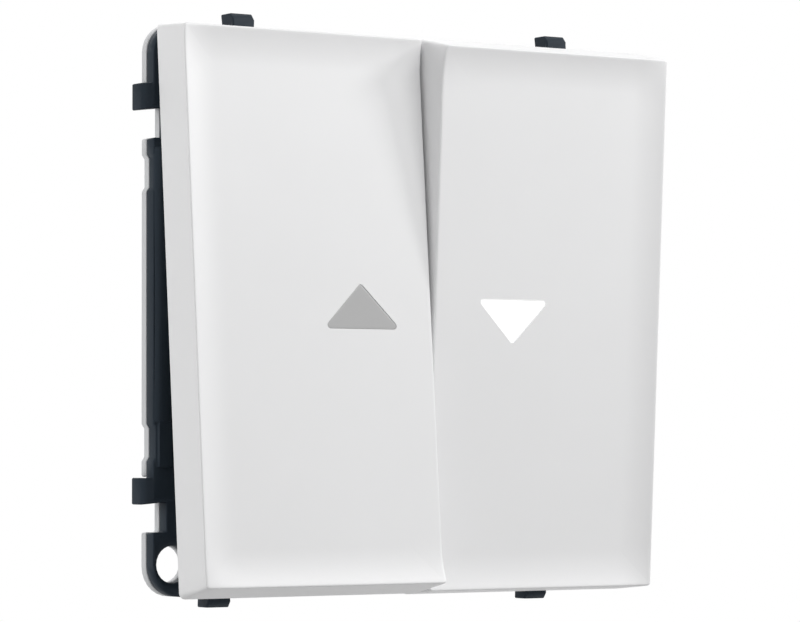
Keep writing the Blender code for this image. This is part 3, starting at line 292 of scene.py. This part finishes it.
def triangle(side, grow, corner_points=5, side_points=10):
    """A triangle with rounded corners, moved out by grow; it points up (left) or down (right).

    The corners are first found for the triangle moved in by the corner radius; then each becomes
    an arc of that radius, so that growing the outline never changes its shape.
    """
    way = MARK_POINTS[side]
    half = MARK_WIDTH / 2
    slant = math.hypot(half, MARK_HEIGHT)
    inner = half * MARK_HEIGHT / (half + slant)
    share = (inner - MARK_CORNER) / inner
    heart = np.array([0.0, -MARK_HEIGHT / 2 + inner])
    corners = np.array([[half, -MARK_HEIGHT / 2], [0.0, MARK_HEIGHT / 2], [-half, -MARK_HEIGHT / 2]])
    corners = heart + (corners - heart) * share
    slope = math.atan2(MARK_HEIGHT, half)
    normals = np.array([-math.pi / 2, math.pi / 2 - slope, math.pi / 2 + slope, 1.5 * math.pi])
    radius = MARK_CORNER + grow
    parts = []
    next_corners = np.roll(corners, -1, axis=0)
    for corner, start, end, after in zip(corners, normals, normals[1:], next_corners):
        angle = np.linspace(start, end, corner_points)
        arc = corner + radius * np.column_stack([np.cos(angle), np.sin(angle)])
        first = after + radius * np.array([math.cos(end), math.sin(end)])
        share = np.linspace(0, 1, side_points + 1)[1:-1, None]
        parts += [arc, arc[-1] * (1 - share) + first * share]
    outline = np.concatenate(parts)
    return (outline + [0.0, MARK_RISE]) * [1.0, way] + [MARK_X[side], 0.0]


def flat_rings(outlines, depths):
    """Stacks (points, 2) outlines at their depths along Y into rings."""
    rings = [np.column_stack([o[:, 0], np.full(len(o), y), o[:, 1]]) for o, y in zip(outlines, depths)]
    return np.stack(rings)


# %% Cutting
def bite(piece, cutter):
    """Cuts the cutter out of the piece for good, and takes the cutter away."""
    cut = piece.modifiers.new("cut", "BOOLEAN")
    cut.operation = "DIFFERENCE"
    cut.object = cutter
    cut.solver = "EXACT"
    bpy.context.view_layer.update()
    graph = bpy.context.evaluated_depsgraph_get()
    rest = bpy.data.meshes.new_from_object(piece.evaluated_get(graph))
    piece.modifiers.clear()
    piece.data = rest
    rest.set_sharp_from_angle(angle=SMOOTH_ANGLE)
    bpy.data.objects.remove(cutter)


# %% Light guides and their openings
for side in SIDE:
    top = -FACE_DEPTH + DISH_DEPTH + MARK_RECESS[side]
    ceiling = -FACE_DEPTH + DISH_DEPTH + WALL
    grows = [-MARK_TOP_INSET, -MARK_EDGE, -MARK_EDGE / 4, 0.0, 0.0, 0.0]
    depths = [top, top, top + MARK_EDGE / 4, top + MARK_EDGE, ceiling, ceiling + MARK_TAIL]
    rings = flat_rings([triangle(side, grow) for grow in grows], depths)
    slot = "unlit_light_guide" if side == "left" else "lit_light_guide"
    lens = from_rings(f"light_guide_{side}", placed(rings, side), f"key_{side}", slot)
    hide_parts(f"lens_{side}")

    rings = flat_rings([triangle(side, MARK_GAP)] * 2, [-2 * FACE_DEPTH, 0.0])
    cutter = from_rings(f"mark_cutter_{side}", placed(rings, side), f"key_{side}", slot)
    bite(key_pieces[side], cutter)
    print(lens.name, "opening cut, faces:", len(key_pieces[side].data.polygons))

# %% [markdown]
# ## Clip hooks
#
# Four hooks behind each key snap over the ends of the rocking cradle that carries it. A hook is
# one flat profile, a straight leg with a nib and a sloped nose that lets it ride over the cradle's
# edge, drawn across its width. Every edge of a moulding has a small round, and a Bevel modifier
# gives it at the end, because a bevel follows any shape. Weighted normals then keep the large flat
# faces flat in the light, and leave the bending to the rounds.


# %% Soft edges
def soft_edges(piece, width, angle=30):
    """A small round of that width on every edge that is sharper than angle."""
    bevel = piece.modifiers.new("soft_edges", "BEVEL")
    bevel.width = width
    bevel.segments = 2
    bevel.limit_method = "ANGLE"
    bevel.angle_limit = math.radians(angle)
    bevel.use_clamp_overlap = False
    flat = piece.modifiers.new("flat_faces", "WEIGHTED_NORMAL")
    flat.weight = 100
    piece.data.shade_smooth()


# %% Hooks
GANG_X = 11.275 * MM
HOOK_OFFSET = 4.0 * MM
HOOK_WIDTH = 3.0 * MM
HOOK_ROOT, HOOK_END = -4.11 * MM, -0.86 * MM
HOOK_INSIDE, HOOK_OUTSIDE = 10.9 * MM, 11.9 * MM
NIB_START = HOOK_END - 0.5 * MM
NIB_TIP = HOOK_INSIDE - 0.9 * MM
HOOK_EDGE = 0.07 * MM
HOOK_PROFILE = np.array([
    [HOOK_ROOT, HOOK_INSIDE], [HOOK_ROOT, HOOK_OUTSIDE], [HOOK_END, HOOK_OUTSIDE],
    [HOOK_END, HOOK_INSIDE], [NIB_START, NIB_TIP], [NIB_START, HOOK_INSIDE],
])


def hook_rings(side, way, step):
    """The profile at both ends of a hook's width; way is up or down, step inwards or outwards."""
    middle = SIDE[side] * (GANG_X + step * HOOK_OFFSET)
    profile = HOOK_PROFILE * [1.0, way]
    ends = (middle - HOOK_WIDTH / 2, middle + HOOK_WIDTH / 2)
    rings = [np.column_stack([np.full(len(profile), x), profile]) for x in ends]
    return placed(np.stack(rings), side)


for side in SIDE:
    for end, way in (("upper", 1.0), ("lower", -1.0)):
        for place, step in (("inner", -1.0), ("outer", 1.0)):
            name = f"hook_{end}_{place}_{side}"
            hook = from_rings(name, hook_rings(side, way, step), f"key_{side}", "white_key_plastic")
            soft_edges(hook, HOOK_EDGE)
    print("hooks of the", side, "key made")

# %% [markdown]
# ## Softened mouldings and stampings
#
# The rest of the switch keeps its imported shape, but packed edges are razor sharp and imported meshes
# are loose triangles. A copy of each piece is merged into one skin, and a fine bevel takes the
# sharpness off, as a mould, a press or a tumbling drum does. The two plates already have rounds of
# a few facets, so only their steeper edges are bevelled.


# %% Merged and bevelled copies
SKIN_MERGE_DISTANCE = 2e-6
ENDINGS = ("upper", "lower", "common", *SIDE)


def kind_of(name):
    """A node's kind: its name without the place and the side at its end."""
    words = name.split("_")
    while words[-1] in ENDINGS:
        words.pop()
    return "_".join(words)


def softened(name, width, angle):
    """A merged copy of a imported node, with rounds of that width on edges sharper than angle."""
    mesh = nodes[name].data.copy()
    skin = bmesh.new()
    skin.from_mesh(mesh)
    bmesh.ops.remove_doubles(skin, verts=skin.verts, dist=SKIN_MERGE_DISTANCE)
    skin.to_mesh(mesh)
    skin.free()
    piece = bpy.data.objects.new(f"{name}_soft", mesh)
    bpy.context.scene.collection.objects.link(piece)
    soft_edges(piece, width, angle)
    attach(piece, body_of[name])
    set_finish(piece, slots[name])
    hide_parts(name)
    return piece


# %% Softened pieces
facts = frame["record"]
body_of = {node: body for body, held in facts["behaviour"]["bodies"].items() for node in held}
slots = {entry["node"]: entry["material_slot"] for entry in facts["subparts"]}
SHARP_ANGLE = {"carrier_frame": 50, "backing_plate": 50}
PLAIN_SHARP_ANGLE = 30
ROUNDS = {
    "carrier_frame": 0.12 * MM, "backing_plate": 0.06 * MM, "housing": 0.1 * MM,
    "lamp_board": 0.08 * MM, "cradle": 0.07 * MM, "plunger": 0.05 * MM, "lamp": 0.08 * MM,
    "clamp": 0.07 * MM, "upper_terminal": 0.05 * MM, "lower_terminal": 0.05 * MM,
    "common_terminal": 0.05 * MM, "seesaw": 0.05 * MM,
}
for name in nodes:
    kind = kind_of(name)
    if kind in ROUNDS:
        piece = softened(name, ROUNDS[kind], SHARP_ANGLE.get(kind, PLAIN_SHARP_ANGLE))
        print(piece.name, "faces before its bevel:", len(piece.data.polygons))

# %% [markdown]
# ## Edge ribs
#
# Along both upright sides of the dark carrier runs a low rib that stiffens it. From the side it
# reads as one smooth swell from the carrier's edge to the rib's top, so it is one soft profile
# carried along a straight path, with its ends drawn in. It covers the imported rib.

# %% Ribs along the carrier's edges
RIB_PROFILE = np.array([
    [22.44, -1.72], [22.41, -1.88], [22.3, -2.08], [22.14, -2.22],
    [21.96, -2.27], [21.1, -2.27], [20.98, -2.2], [20.98, -1.72],
]) * MM
RIB_HEART = RIB_PROFILE.mean(axis=0)
RIB_LOW, RIB_HIGH = -12.5 * MM, 8.95 * MM
RIB_END_STEPS = np.array([0.0, 0.06, 0.2]) * MM
RIB_END_SIZES = np.array([0.8, 0.94, 1.0])


def rib_rings(sign):
    """The rib's profile at each height; near both ends it shrinks towards its heart.

    The carrier's outline looks the same after half a turn, so one rib is the other one turned.
    """
    heights = np.concatenate([RIB_LOW + RIB_END_STEPS, RIB_HIGH - RIB_END_STEPS[::-1]])
    sizes = np.concatenate([RIB_END_SIZES, RIB_END_SIZES[::-1]])
    profile = RIB_HEART + (RIB_PROFILE - RIB_HEART) * sizes[:, None, None]
    rise = np.broadcast_to(heights[:, None, None], (len(heights), len(RIB_PROFILE), 1))
    return np.concatenate([profile * [sign, 1.0], rise * sign], axis=-1)


for side in SIDE:
    rib = from_rings(f"edge_rib_{side}", rib_rings(SIDE[side]), "base", "slate_plastic", 50)
    print(rib.name, "faces:", len(rib.data.polygons))

# %% [markdown]
# ## Screws
#
# Ten pan-head screws hold the wires and the housing. A screw is turned, so it is rings again: a
# short point, a thread, a bare neck and a head with a low dome. The thread is a ripple of the
# radius that climbs one pitch with each turn. The cross in the head is cut with a tapering plug,
# as a driver bit would fill it.

# %% Sizes of the screws
AROUND = 24
HEAD_HEIGHTS = {"clamp_screw": 1.2 * MM, "housing_screw": 1.1 * MM}
SHANK_RADII = {"clamp_screw": 1.1 * MM, "housing_screw": 0.75 * MM}
HEAD_EDGE = 0.12 * MM
DOME_RISE = 0.28 * MM
DOME_STEP = 0.02 * MM
DOME_BEND = 0.9
POINT_HEIGHT = 0.2 * MM
POINT_NARROWING = 0.5 * MM
NECK_HEIGHT = 0.3 * MM
THREAD_PITCH = 0.45 * MM
THREAD_DEPTH = 0.16 * MM
CROSS_WIDTH = 0.5 * MM
CROSS_DEPTH = 0.5 * MM
CROSS_REACH = 0.62
CROSS_TAPER = 0.6
print("kinds of screw:", sorted(HEAD_HEIGHTS))


# %% Rings, thread and cross
def around(centre, y, radius):
    """Rings about a line along Y through centre (x, z): centre + radius * (cos a, sin a) at each y.

    There is one radius for each ring, or one for each ring and point.
    """
    turn = np.linspace(0, 2 * math.pi, AROUND + 1)[:-1]
    radius = np.broadcast_to(np.reshape(radius, (len(y), -1)), (len(y), AROUND))
    depth = np.broadcast_to(np.reshape(y, (-1, 1)), radius.shape)
    x, z = centre[0] + radius * np.cos(turn), centre[1] + radius * np.sin(turn)
    return np.stack([x, depth, z], axis=-1)


def thread(start, end, radius):
    """Depths and radii of a thread: crest - depth * |2 phase - 1|, phase = y / pitch + turn."""
    y = np.arange(start, end, THREAD_PITCH / 8)
    turn = np.linspace(0, 1, AROUND + 1)[:-1]
    phase = (y[:, None] / THREAD_PITCH + turn) % 1.0
    fade = np.clip(np.minimum(y - start, end - y) / THREAD_PITCH, 0.0, 1.0)[:, None]
    return y, radius - THREAD_DEPTH * fade * np.abs(2.0 * phase - 1.0)


def cross(centre, y, size, share):
    """A cross with arms as long as size, narrowed by share: one corner, turned by quarter turns."""
    arm, half = size * share, CROSS_WIDTH / 2 * share
    corner = np.array([[-half, arm], [half, arm], [half, half]])
    turns = [np.array([[c, s], [-s, c]]) for c, s in ((1, 0), (0, 1), (-1, 0), (0, -1))]
    outline = np.concatenate([corner @ turn.T for turn in turns])
    x, z = centre[0] + outline[:, 0], centre[1] + outline[:, 1]
    return np.column_stack([x, np.full(len(outline), y), z])


# %% Turned screws
def screw_rings(centre, head, shank, tip, front, back):
    """A screw from tip to back: point, thread, neck and head; head and shank are radii.

    The head's dome falls by DOME_RISE * share^2, where the share runs from its middle to its edge.
    """
    turned, radii = thread(tip + POINT_HEIGHT, front - NECK_HEIGHT, shank)
    bend = np.linspace(0, math.pi / 2, 5)
    dome = np.linspace(1.0, 0.04, 8)
    narrow = (head - DOME_STEP) * np.sin(dome * math.pi / 2) ** DOME_BEND
    point = [shank - POINT_NARROWING, shank - 0.7 * POINT_NARROWING]
    return np.concatenate([
        around(centre, [tip, tip + POINT_HEIGHT / 10], point),
        around(centre, turned, radii),
        around(centre, [front - NECK_HEIGHT / 3, front], [shank, shank + NECK_HEIGHT / 10]),
        around(centre, front + HEAD_EDGE * (1 - np.cos(bend)), head - HEAD_EDGE * (1 - np.sin(bend))),
        around(centre, back - DOME_RISE * dome**2, narrow),
    ])


def screw(name):
    """A screw in the place of a packed one, its head to the back, with a cross cut in the head."""
    kind = kind_of(name)
    low, high = (np.array(corner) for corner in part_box(name))
    centre = ((low + high) / 2)[[0, 2]]
    head, tip, back = (high[0] - low[0]) / 2, low[1], high[1]
    rings = screw_rings(centre, head, SHANK_RADII[kind], tip, back - HEAD_HEIGHTS[kind], back)
    piece = from_rings(f"{name}_turned", rings, body_of[name], slots[name], 35)
    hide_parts(name)
    reach = head * CROSS_REACH
    outer = cross(centre, back + CROSS_DEPTH, reach, 1.0)
    inner = cross(centre, back - CROSS_DEPTH, reach, CROSS_TAPER)
    plug = from_rings(f"{name}_plug", np.stack([outer, inner]), body_of[name], slots[name])
    bite(piece, plug)
    return piece


for name in sorted(nodes):
    if kind_of(name) in HEAD_HEIGHTS:
        print(name, "faces:", len(screw(name).data.polygons))

# %% [markdown]
# ## Springs
#
# A small coil spring behind each key presses its plunger onto the see-saw contact. Its wire is a
# circle carried along a helix, so one formula gives every point.

# %% Coil springs
MECHANISM_X = 10.175 * MM
SPRING_START, SPRING_END = -1.84 * MM, 4.24 * MM
SPRING_RADIUS = 0.85 * MM
WIRE_RADIUS = 0.16 * MM
SPRING_TURNS = 8


def spring_rings(side, per_turn=20, around_wire=8):
    """A wire along a helix: its middle + wire radius * (cos b * outward + sin b * sideways).

    Outward points away from the spring's axis, and sideways is square to it and to the wire.
    """
    share = np.linspace(0, 1, SPRING_TURNS * per_turn + 1)
    turn = 2 * math.pi * SPRING_TURNS * share
    outward = np.column_stack([np.cos(turn), 0 * turn, np.sin(turn)])
    length = SPRING_END - SPRING_START
    climb = np.full_like(turn, length / (2 * math.pi * SPRING_TURNS * SPRING_RADIUS))
    along = np.column_stack([-np.sin(turn), climb, np.cos(turn)])
    sideways = np.cross(outward, along / np.linalg.norm(along, axis=1, keepdims=True))
    across = np.full_like(turn, SIDE[side] * MECHANISM_X)
    axis = np.column_stack([across, SPRING_START + length * share, 0 * turn])
    middle = (axis + SPRING_RADIUS * outward)[:, None]
    bend = np.linspace(0, 2 * math.pi, around_wire + 1)[:-1, None]
    spread = np.cos(bend) * outward[:, None] + np.sin(bend) * sideways[:, None]
    return placed(middle + WIRE_RADIUS * spread, side)


for side in SIDE:
    spring = from_rings(f"coil_spring_{side}", spring_rings(side), f"key_{side}", "zinc_steel", 60)
    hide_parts(f"spring_{side}")
    way = placed(np.array([0.0, -1.0, 0.0]), side) - PIVOT
    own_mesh(spring)

# %% [markdown]
# ## Finishes
#
# Most of the switch is moulded plastic, and all moulded plastic shares the same small truths: its
# colour drifts a little, its gloss is uneven, and the mould's fine texture breaks up highlights.
# One node group holds those effects, and each plastic sets its own colour and amounts.

# %% Node helpers
def new_node(tree, kind, **inputs):
    """Adds a node and sets its inputs by name, or by number as _0; a given socket is linked."""
    node = tree.nodes.new(kind)
    for name, value in inputs.items():
        socket = node.inputs[int(name[1:]) if name[0] == "_" else name.replace("_", " ")]
        if isinstance(value, bpy.types.NodeSocket):
            tree.links.new(value, socket)
        else:
            socket.default_value = value
    return node


def new_group(name, inputs, outputs):
    """A shader node group, from {name: default} for its inputs and {name: kind} for its outputs."""
    group = bpy.data.node_groups.new(name, "ShaderNodeTree")
    for label, value in inputs.items():
        kind = "NodeSocketFloat" if isinstance(value, float) else "NodeSocketColor"
        socket = group.interface.new_socket(label, in_out="INPUT", socket_type=kind)
        socket.default_value = value
    for label, kind in outputs.items():
        group.interface.new_socket(label, in_out="OUTPUT", socket_type=kind)
    return group


# %% Moulding group
COLOUR_CLOUD_SCALE = 90.0
GLOSS_CLOUD_SCALE = 260.0
moulding = new_group(
    "moulding",
    {"Color": (0.8, 0.8, 0.8, 1.0), "Drift": 0.04, "Roughness": 0.4, "Unevenness": 0.06, "Grain": 4000.0},
    {"Color": "NodeSocketColor", "Roughness": "NodeSocketFloat", "Height": "NodeSocketFloat"},
)
given = moulding.nodes.new("NodeGroupInput").outputs
spot = new_node(moulding, "ShaderNodeTexCoord").outputs["Object"]
cloud = new_node(moulding, "ShaderNodeTexNoise", Vector=spot, Scale=COLOUR_CLOUD_SCALE, Detail=3.0)
down = new_node(moulding, "ShaderNodeMath", _0=1.0, _1=given["Drift"])
down.operation = "SUBTRACT"
drift = new_node(
    moulding, "ShaderNodeMapRange", Value=cloud.outputs["Fac"],
    From_Min=0.3, From_Max=0.7, To_Min=down.outputs[0], To_Max=1.0,
)
tone = new_node(moulding, "ShaderNodeMix")
tone.data_type = "RGBA"
tone.blend_type = "MULTIPLY"
tone.inputs[0].default_value = 1.0
moulding.links.new(given["Color"], tone.inputs[6])
moulding.links.new(drift.outputs[0], tone.inputs[7])
smear = new_node(moulding, "ShaderNodeTexNoise", Vector=spot, Scale=GLOSS_CLOUD_SCALE, Detail=4.0)
centred = new_node(moulding, "ShaderNodeMath", _0=smear.outputs["Fac"], _1=0.5)
centred.operation = "SUBTRACT"
uneven = new_node(moulding, "ShaderNodeMath", _0=centred.outputs[0], _1=given["Unevenness"])
uneven.operation = "MULTIPLY"
rough = new_node(moulding, "ShaderNodeMath", _0=uneven.outputs[0], _1=given["Roughness"])
grain = new_node(moulding, "ShaderNodeTexNoise", Vector=spot, Scale=given["Grain"], Detail=2.0)
results = moulding.nodes.new("NodeGroupOutput").inputs
moulding.links.new(tone.outputs[2], results["Color"])
moulding.links.new(rough.outputs[0], results["Roughness"])
moulding.links.new(grain.outputs["Fac"], results["Height"])
print("node group:", moulding.name, "with", len(moulding.nodes), "nodes")


# %% Plastics
def plastic(name, colour, drift, roughness, unevenness, grain, height, **sockets):
    """A Principled plastic fed by the moulding group; height is the grain's depth in metres."""
    made = bpy.data.materials.new(name)
    made.use_nodes = True
    tree = made.node_tree
    shader = tree.nodes["Principled BSDF"]
    surface = tree.nodes.new("ShaderNodeGroup")
    surface.node_tree = moulding
    values = {"Color": (*colour, 1.0), "Drift": drift, "Roughness": roughness}
    values |= {"Unevenness": unevenness, "Grain": grain}
    for label, value in values.items():
        surface.inputs[label].default_value = value
    bump = new_node(tree, "ShaderNodeBump", Height=surface.outputs["Height"], Strength=1.0, Distance=height)
    tree.links.new(surface.outputs["Color"], shader.inputs["Base Color"])
    tree.links.new(surface.outputs["Roughness"], shader.inputs["Roughness"])
    tree.links.new(bump.outputs[0], shader.inputs["Normal"])
    for label, value in sockets.items():
        shader.inputs[label.replace("_", " ")].default_value = value
    return made


finishes = {
    "white_key_plastic": plastic("satin_white", (0.9, 0.9, 0.905), 0.015, 0.38, 0.1, 5000.0, 2e-6),
    "pale_grey_plastic": plastic("pale_moulding", (0.68, 0.69, 0.7), 0.05, 0.5, 0.1, 4000.0, 4e-6),
    "slate_plastic": plastic(
        "slate_moulding", (0.024, 0.034, 0.046), 0.2, 0.5, 0.15, 4500.0, 8e-6, Specular_IOR_Level=0.12
    ),
    "graphite_plastic": plastic(
        "graphite_moulding", (0.016, 0.017, 0.019), 0.25, 0.5, 0.15, 3000.0, 1e-5, Specular_IOR_Level=0.25
    ),
    "natural_plastic": plastic("natural_moulding", (0.78, 0.76, 0.7), 0.06, 0.42, 0.1, 3000.0, 4e-6),
    "unlit_light_guide": plastic("unlit_guide", (0.49, 0.49, 0.49), 0.03, 0.3, 0.05, 5000.0, 1e-6),
    "lit_light_guide": plastic(
        "lit_guide", (0.95, 0.95, 0.95), 0.01, 0.3, 0.05, 5000.0, 1e-6, Emission_Strength=0.4
    ),
    "board_laminate": plastic("laminate", (0.02, 0.12, 0.06), 0.3, 0.35, 0.1, 2500.0, 6e-6),
}
print("plastics:", len(finishes))

# %% [markdown]
# ## Metals
#
# Terminals, clamps, screws and springs are stamped, turned or drawn metal. Real plated metal is
# never a mirror: a soft cloud in its roughness and a fine brushed bump are enough at this size.


# %% Metals
ROUGHNESS_SPREAD = 0.12
DARK_SHARE = 0.82
CLOUD_SCALE = 500.0
BRUSH_SCALE = 6000.0
BRUSH_STRETCH = 0.08
BRUSH_DEPTH = 3e-6


def metal(name, colour, roughness):
    """A metal whose roughness drifts in clouds and whose bump is stretched along one way."""
    made = bpy.data.materials.new(name)
    made.use_nodes = True
    tree = made.node_tree
    shader = tree.nodes["Principled BSDF"]
    spot = new_node(tree, "ShaderNodeTexCoord").outputs["Object"]
    cloud = new_node(tree, "ShaderNodeTexNoise", Vector=spot, Scale=CLOUD_SCALE, Detail=4.0)
    rough = new_node(
        tree, "ShaderNodeMapRange", Value=cloud.outputs["Fac"],
        To_Min=roughness - ROUGHNESS_SPREAD, To_Max=roughness + ROUGHNESS_SPREAD,
    )
    long = new_node(tree, "ShaderNodeMapping", Vector=spot, Scale=(1.0, 1.0, BRUSH_STRETCH))
    brush = new_node(tree, "ShaderNodeTexNoise", Vector=long.outputs[0], Scale=BRUSH_SCALE, Detail=2.0)
    bump = new_node(
        tree, "ShaderNodeBump", Height=brush.outputs["Fac"], Strength=1.0, Distance=BRUSH_DEPTH
    )
    tint = new_node(tree, "ShaderNodeMix")
    tint.data_type = "RGBA"
    tree.links.new(cloud.outputs["Fac"], tint.inputs[0])
    tint.inputs[6].default_value = (*[part * DARK_SHARE for part in colour], 1.0)
    tint.inputs[7].default_value = (*colour, 1.0)
    tree.links.new(tint.outputs[2], shader.inputs["Base Color"])
    tree.links.new(rough.outputs[0], shader.inputs["Roughness"])
    tree.links.new(bump.outputs[0], shader.inputs["Normal"])
    shader.inputs["Metallic"].default_value = 1.0
    return made


finishes["zinc_steel"] = metal("zinc_plate", (0.62, 0.64, 0.66), 0.34)
finishes["brass"] = metal("stamped_brass", (0.78, 0.6, 0.3), 0.34)
finishes["copper"] = metal("stamped_copper", (0.8, 0.46, 0.32), 0.34)
print("plastics and metals:", len(finishes))

# %% Finishes on the pieces
for name, node in nodes.items():
    node.data.materials.clear()
    node.data.materials.append(finishes[slots[name]])
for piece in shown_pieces():
    if "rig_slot" in piece:
        piece.data.materials.clear()
        piece.data.materials.append(finishes[piece["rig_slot"]])
print("finishes:", sorted(finishes))

# %% [markdown]
# ## Floor
#
# The photograph shows the switch alone on white. A grey disc a little below it takes its shadow.
# The disc glows, and more so towards its edge, but only to the camera and in mirrored rays, so it
# fades into white, and its glow adds nothing to the soft light on the object.


# %% Floor helpers
FLOOR_RADIUS = 0.6
FLOOR_HEIGHT = -0.055
FLOOR_THICKNESS = 0.002
FLOOR_GREY = 0.46
GLOW_IN_THE_MIDDLE, GLOW_AT_THE_EDGE = 0.45, 1.0
GLOW_FADE_START, GLOW_FADE_END = 0.12, 0.5


def disc_rings():
    """A thin round floor: rings of radius * (cos a, sin a), and the last one drops at the edge."""
    turn = np.linspace(0, 2 * math.pi, 97)[:-1]
    ways = np.column_stack([np.cos(turn), np.sin(turn)])
    radii = np.array([0.01, 0.2, 0.4, 0.6, 0.8, 1.0, 1.0]) * FLOOR_RADIUS
    heights = np.full(len(radii), FLOOR_HEIGHT)
    heights[-1] -= FLOOR_THICKNESS
    flat = ways[None] * radii[:, None, None]
    rise = np.broadcast_to(heights[:, None, None], (len(radii), len(turn), 1))
    return np.concatenate([flat, rise], axis=-1)


def rays_to_the_viewer(tree):
    """1 for rays from the camera, for mirrored rays and for rays through glass, else 0."""
    path = new_node(tree, "ShaderNodeLightPath").outputs
    seen = new_node(tree, "ShaderNodeMath", _0=path["Is Camera Ray"], _1=path["Is Glossy Ray"])
    seen = new_node(tree, "ShaderNodeMath", _0=seen.outputs[0], _1=path["Is Transmission Ray"])
    seen.use_clamp = True
    return seen.outputs[0]


# %% Floor disc
floor = from_rings("floor", disc_rings(), "base", "pale_grey_plastic")
floor.parent = None
floor_finish = bpy.data.materials.new("pale_floor")
floor_finish.use_nodes = True
tree = floor_finish.node_tree
shader = tree.nodes["Principled BSDF"]
shader.inputs["Base Color"].default_value = (FLOOR_GREY, FLOOR_GREY, FLOOR_GREY, 1.0)
shader.inputs["Roughness"].default_value = 0.9
spot = new_node(tree, "ShaderNodeTexCoord").outputs["Object"]
reach = new_node(tree, "ShaderNodeVectorMath", _0=spot)
reach.operation = "LENGTH"
fade = new_node(
    tree, "ShaderNodeMapRange", Value=reach.outputs["Value"],
    From_Min=GLOW_FADE_START, From_Max=GLOW_FADE_END,
    To_Min=GLOW_IN_THE_MIDDLE, To_Max=GLOW_AT_THE_EDGE,
)
white = new_node(tree, "ShaderNodeMath", _0=fade.outputs[0], _1=rays_to_the_viewer(tree))
white.operation = "MULTIPLY"
glow = new_node(tree, "ShaderNodeEmission", Strength=white.outputs[0])
both = new_node(tree, "ShaderNodeAddShader", _0=shader.outputs[0], _1=glow.outputs[0])
tree.links.new(both.outputs[0], tree.nodes["Material Output"].inputs["Surface"])
floor.data.materials.clear()
floor.data.materials.append(floor_finish)
print("floor radius:", FLOOR_RADIUS, "faces:", len(floor.data.polygons))

# %% [markdown]
# ## World
#
# A studio's walls send a weak light from all round, which keeps the shadows open. The world does
# the same, and shows plain white to the camera and in mirrored rays.

# %% World
WORLD_LIGHT = 0.25
world = bpy.data.worlds.new("studio")
bpy.context.scene.world = world
world.use_nodes = True
tree = world.node_tree
soft = tree.nodes["Background"]
soft.inputs["Color"].default_value = (1.0, 1.0, 1.0, 1.0)
soft.inputs["Strength"].default_value = WORLD_LIGHT
backdrop = new_node(tree, "ShaderNodeBackground", Color=(1.0, 1.0, 1.0, 1.0), Strength=1.0)
seen = rays_to_the_viewer(tree)
choose = new_node(tree, "ShaderNodeMixShader", _0=seen, _1=soft.outputs[0], _2=backdrop.outputs[0])
tree.links.new(choose.outputs[0], tree.nodes["World Output"].inputs["Surface"])
print("world:", world.name, "light", WORLD_LIGHT)

# %% [markdown]
# ## Lamps
#
# The places and powers of the lamps were fitted to the shading in the photograph: a strong one at
# the right, weaker ones at the left and above. Each is a square area light, because a large source
# gives a shadow its soft edge. The lamp behind lights the back, which the photograph doesn't show.


# %% Lamps
def softbox(name, azimuth, elevation, distance, size, power):
    """A square lamp that looks at the switch from that azimuth (0 is in front) and elevation.

    Angles are in degrees, lengths in metres, and the power is in watts.
    """
    lamp = bpy.data.lights.new(name, "AREA")
    lamp.size = size
    lamp.energy = power
    rig = bpy.data.objects.new(name, lamp)
    turn, rise = math.radians(azimuth), math.radians(elevation)
    away = np.array([math.sin(turn) * math.cos(rise), -math.cos(turn) * math.cos(rise), math.sin(rise)])
    level = np.cross([0.0, 0.0, 1.0], away)
    level /= np.linalg.norm(level)
    rig.matrix_world = Matrix(np.column_stack([level, np.cross(away, level), away]).tolist()).to_4x4()
    rig.matrix_world.translation = away * distance
    rig.visible_camera = False
    bpy.context.scene.collection.objects.link(rig)
    return rig


softbox("left_side", -115.0, 10.0, 0.35, 0.2, 0.46).visible_glossy = False
softbox("left", -52.0, 28.0, 0.35, 0.25, 0.18)
softbox("top", 22.0, 42.0, 0.2, 0.12, 0.183)
softbox("right", 62.0, 25.0, 0.6, 0.14, 1.16)
softbox("back", 165.0, 35.0, 0.6, 0.4, 0.7)
print("lamps:", len(bpy.data.lights))

# %% [markdown]
# ## Camera
#
# The camera is set from the photograph: its place, its turn and its lens were worked out from the
# plate's square outline and the keys' edges.

# %% Camera
CAMERA_PLACE = (-0.17200, -0.25726, -0.01094)
YAW, LIFT, ROLL = math.radians(34.05), math.radians(2.06), math.radians(-0.08)
FOCAL_LENGTH_MM = 171.37
SENSOR_WIDTH_MM = 36.0
forward = np.array([math.sin(YAW) * math.cos(LIFT), math.cos(YAW) * math.cos(LIFT), math.sin(LIFT)])
level = np.array([math.cos(YAW), -math.sin(YAW), 0.0])
upward = np.cross(level, forward)
right = level * math.cos(ROLL) + upward * math.sin(ROLL)
top = -level * math.sin(ROLL) + upward * math.cos(ROLL)
optics = bpy.data.cameras.new("camera")
optics.lens = FOCAL_LENGTH_MM
optics.sensor_width = SENSOR_WIDTH_MM
optics.clip_start = 0.01
camera = bpy.data.objects.new("camera", optics)
camera.matrix_world = Matrix(np.column_stack([right, top, -forward]).tolist()).to_4x4()
camera.matrix_world.translation = CAMERA_PLACE
bpy.context.scene.collection.objects.link(camera)
bpy.context.scene.camera = camera
bpy.context.scene.view_settings.view_transform = "Standard"
print("camera at", CAMERA_PLACE)
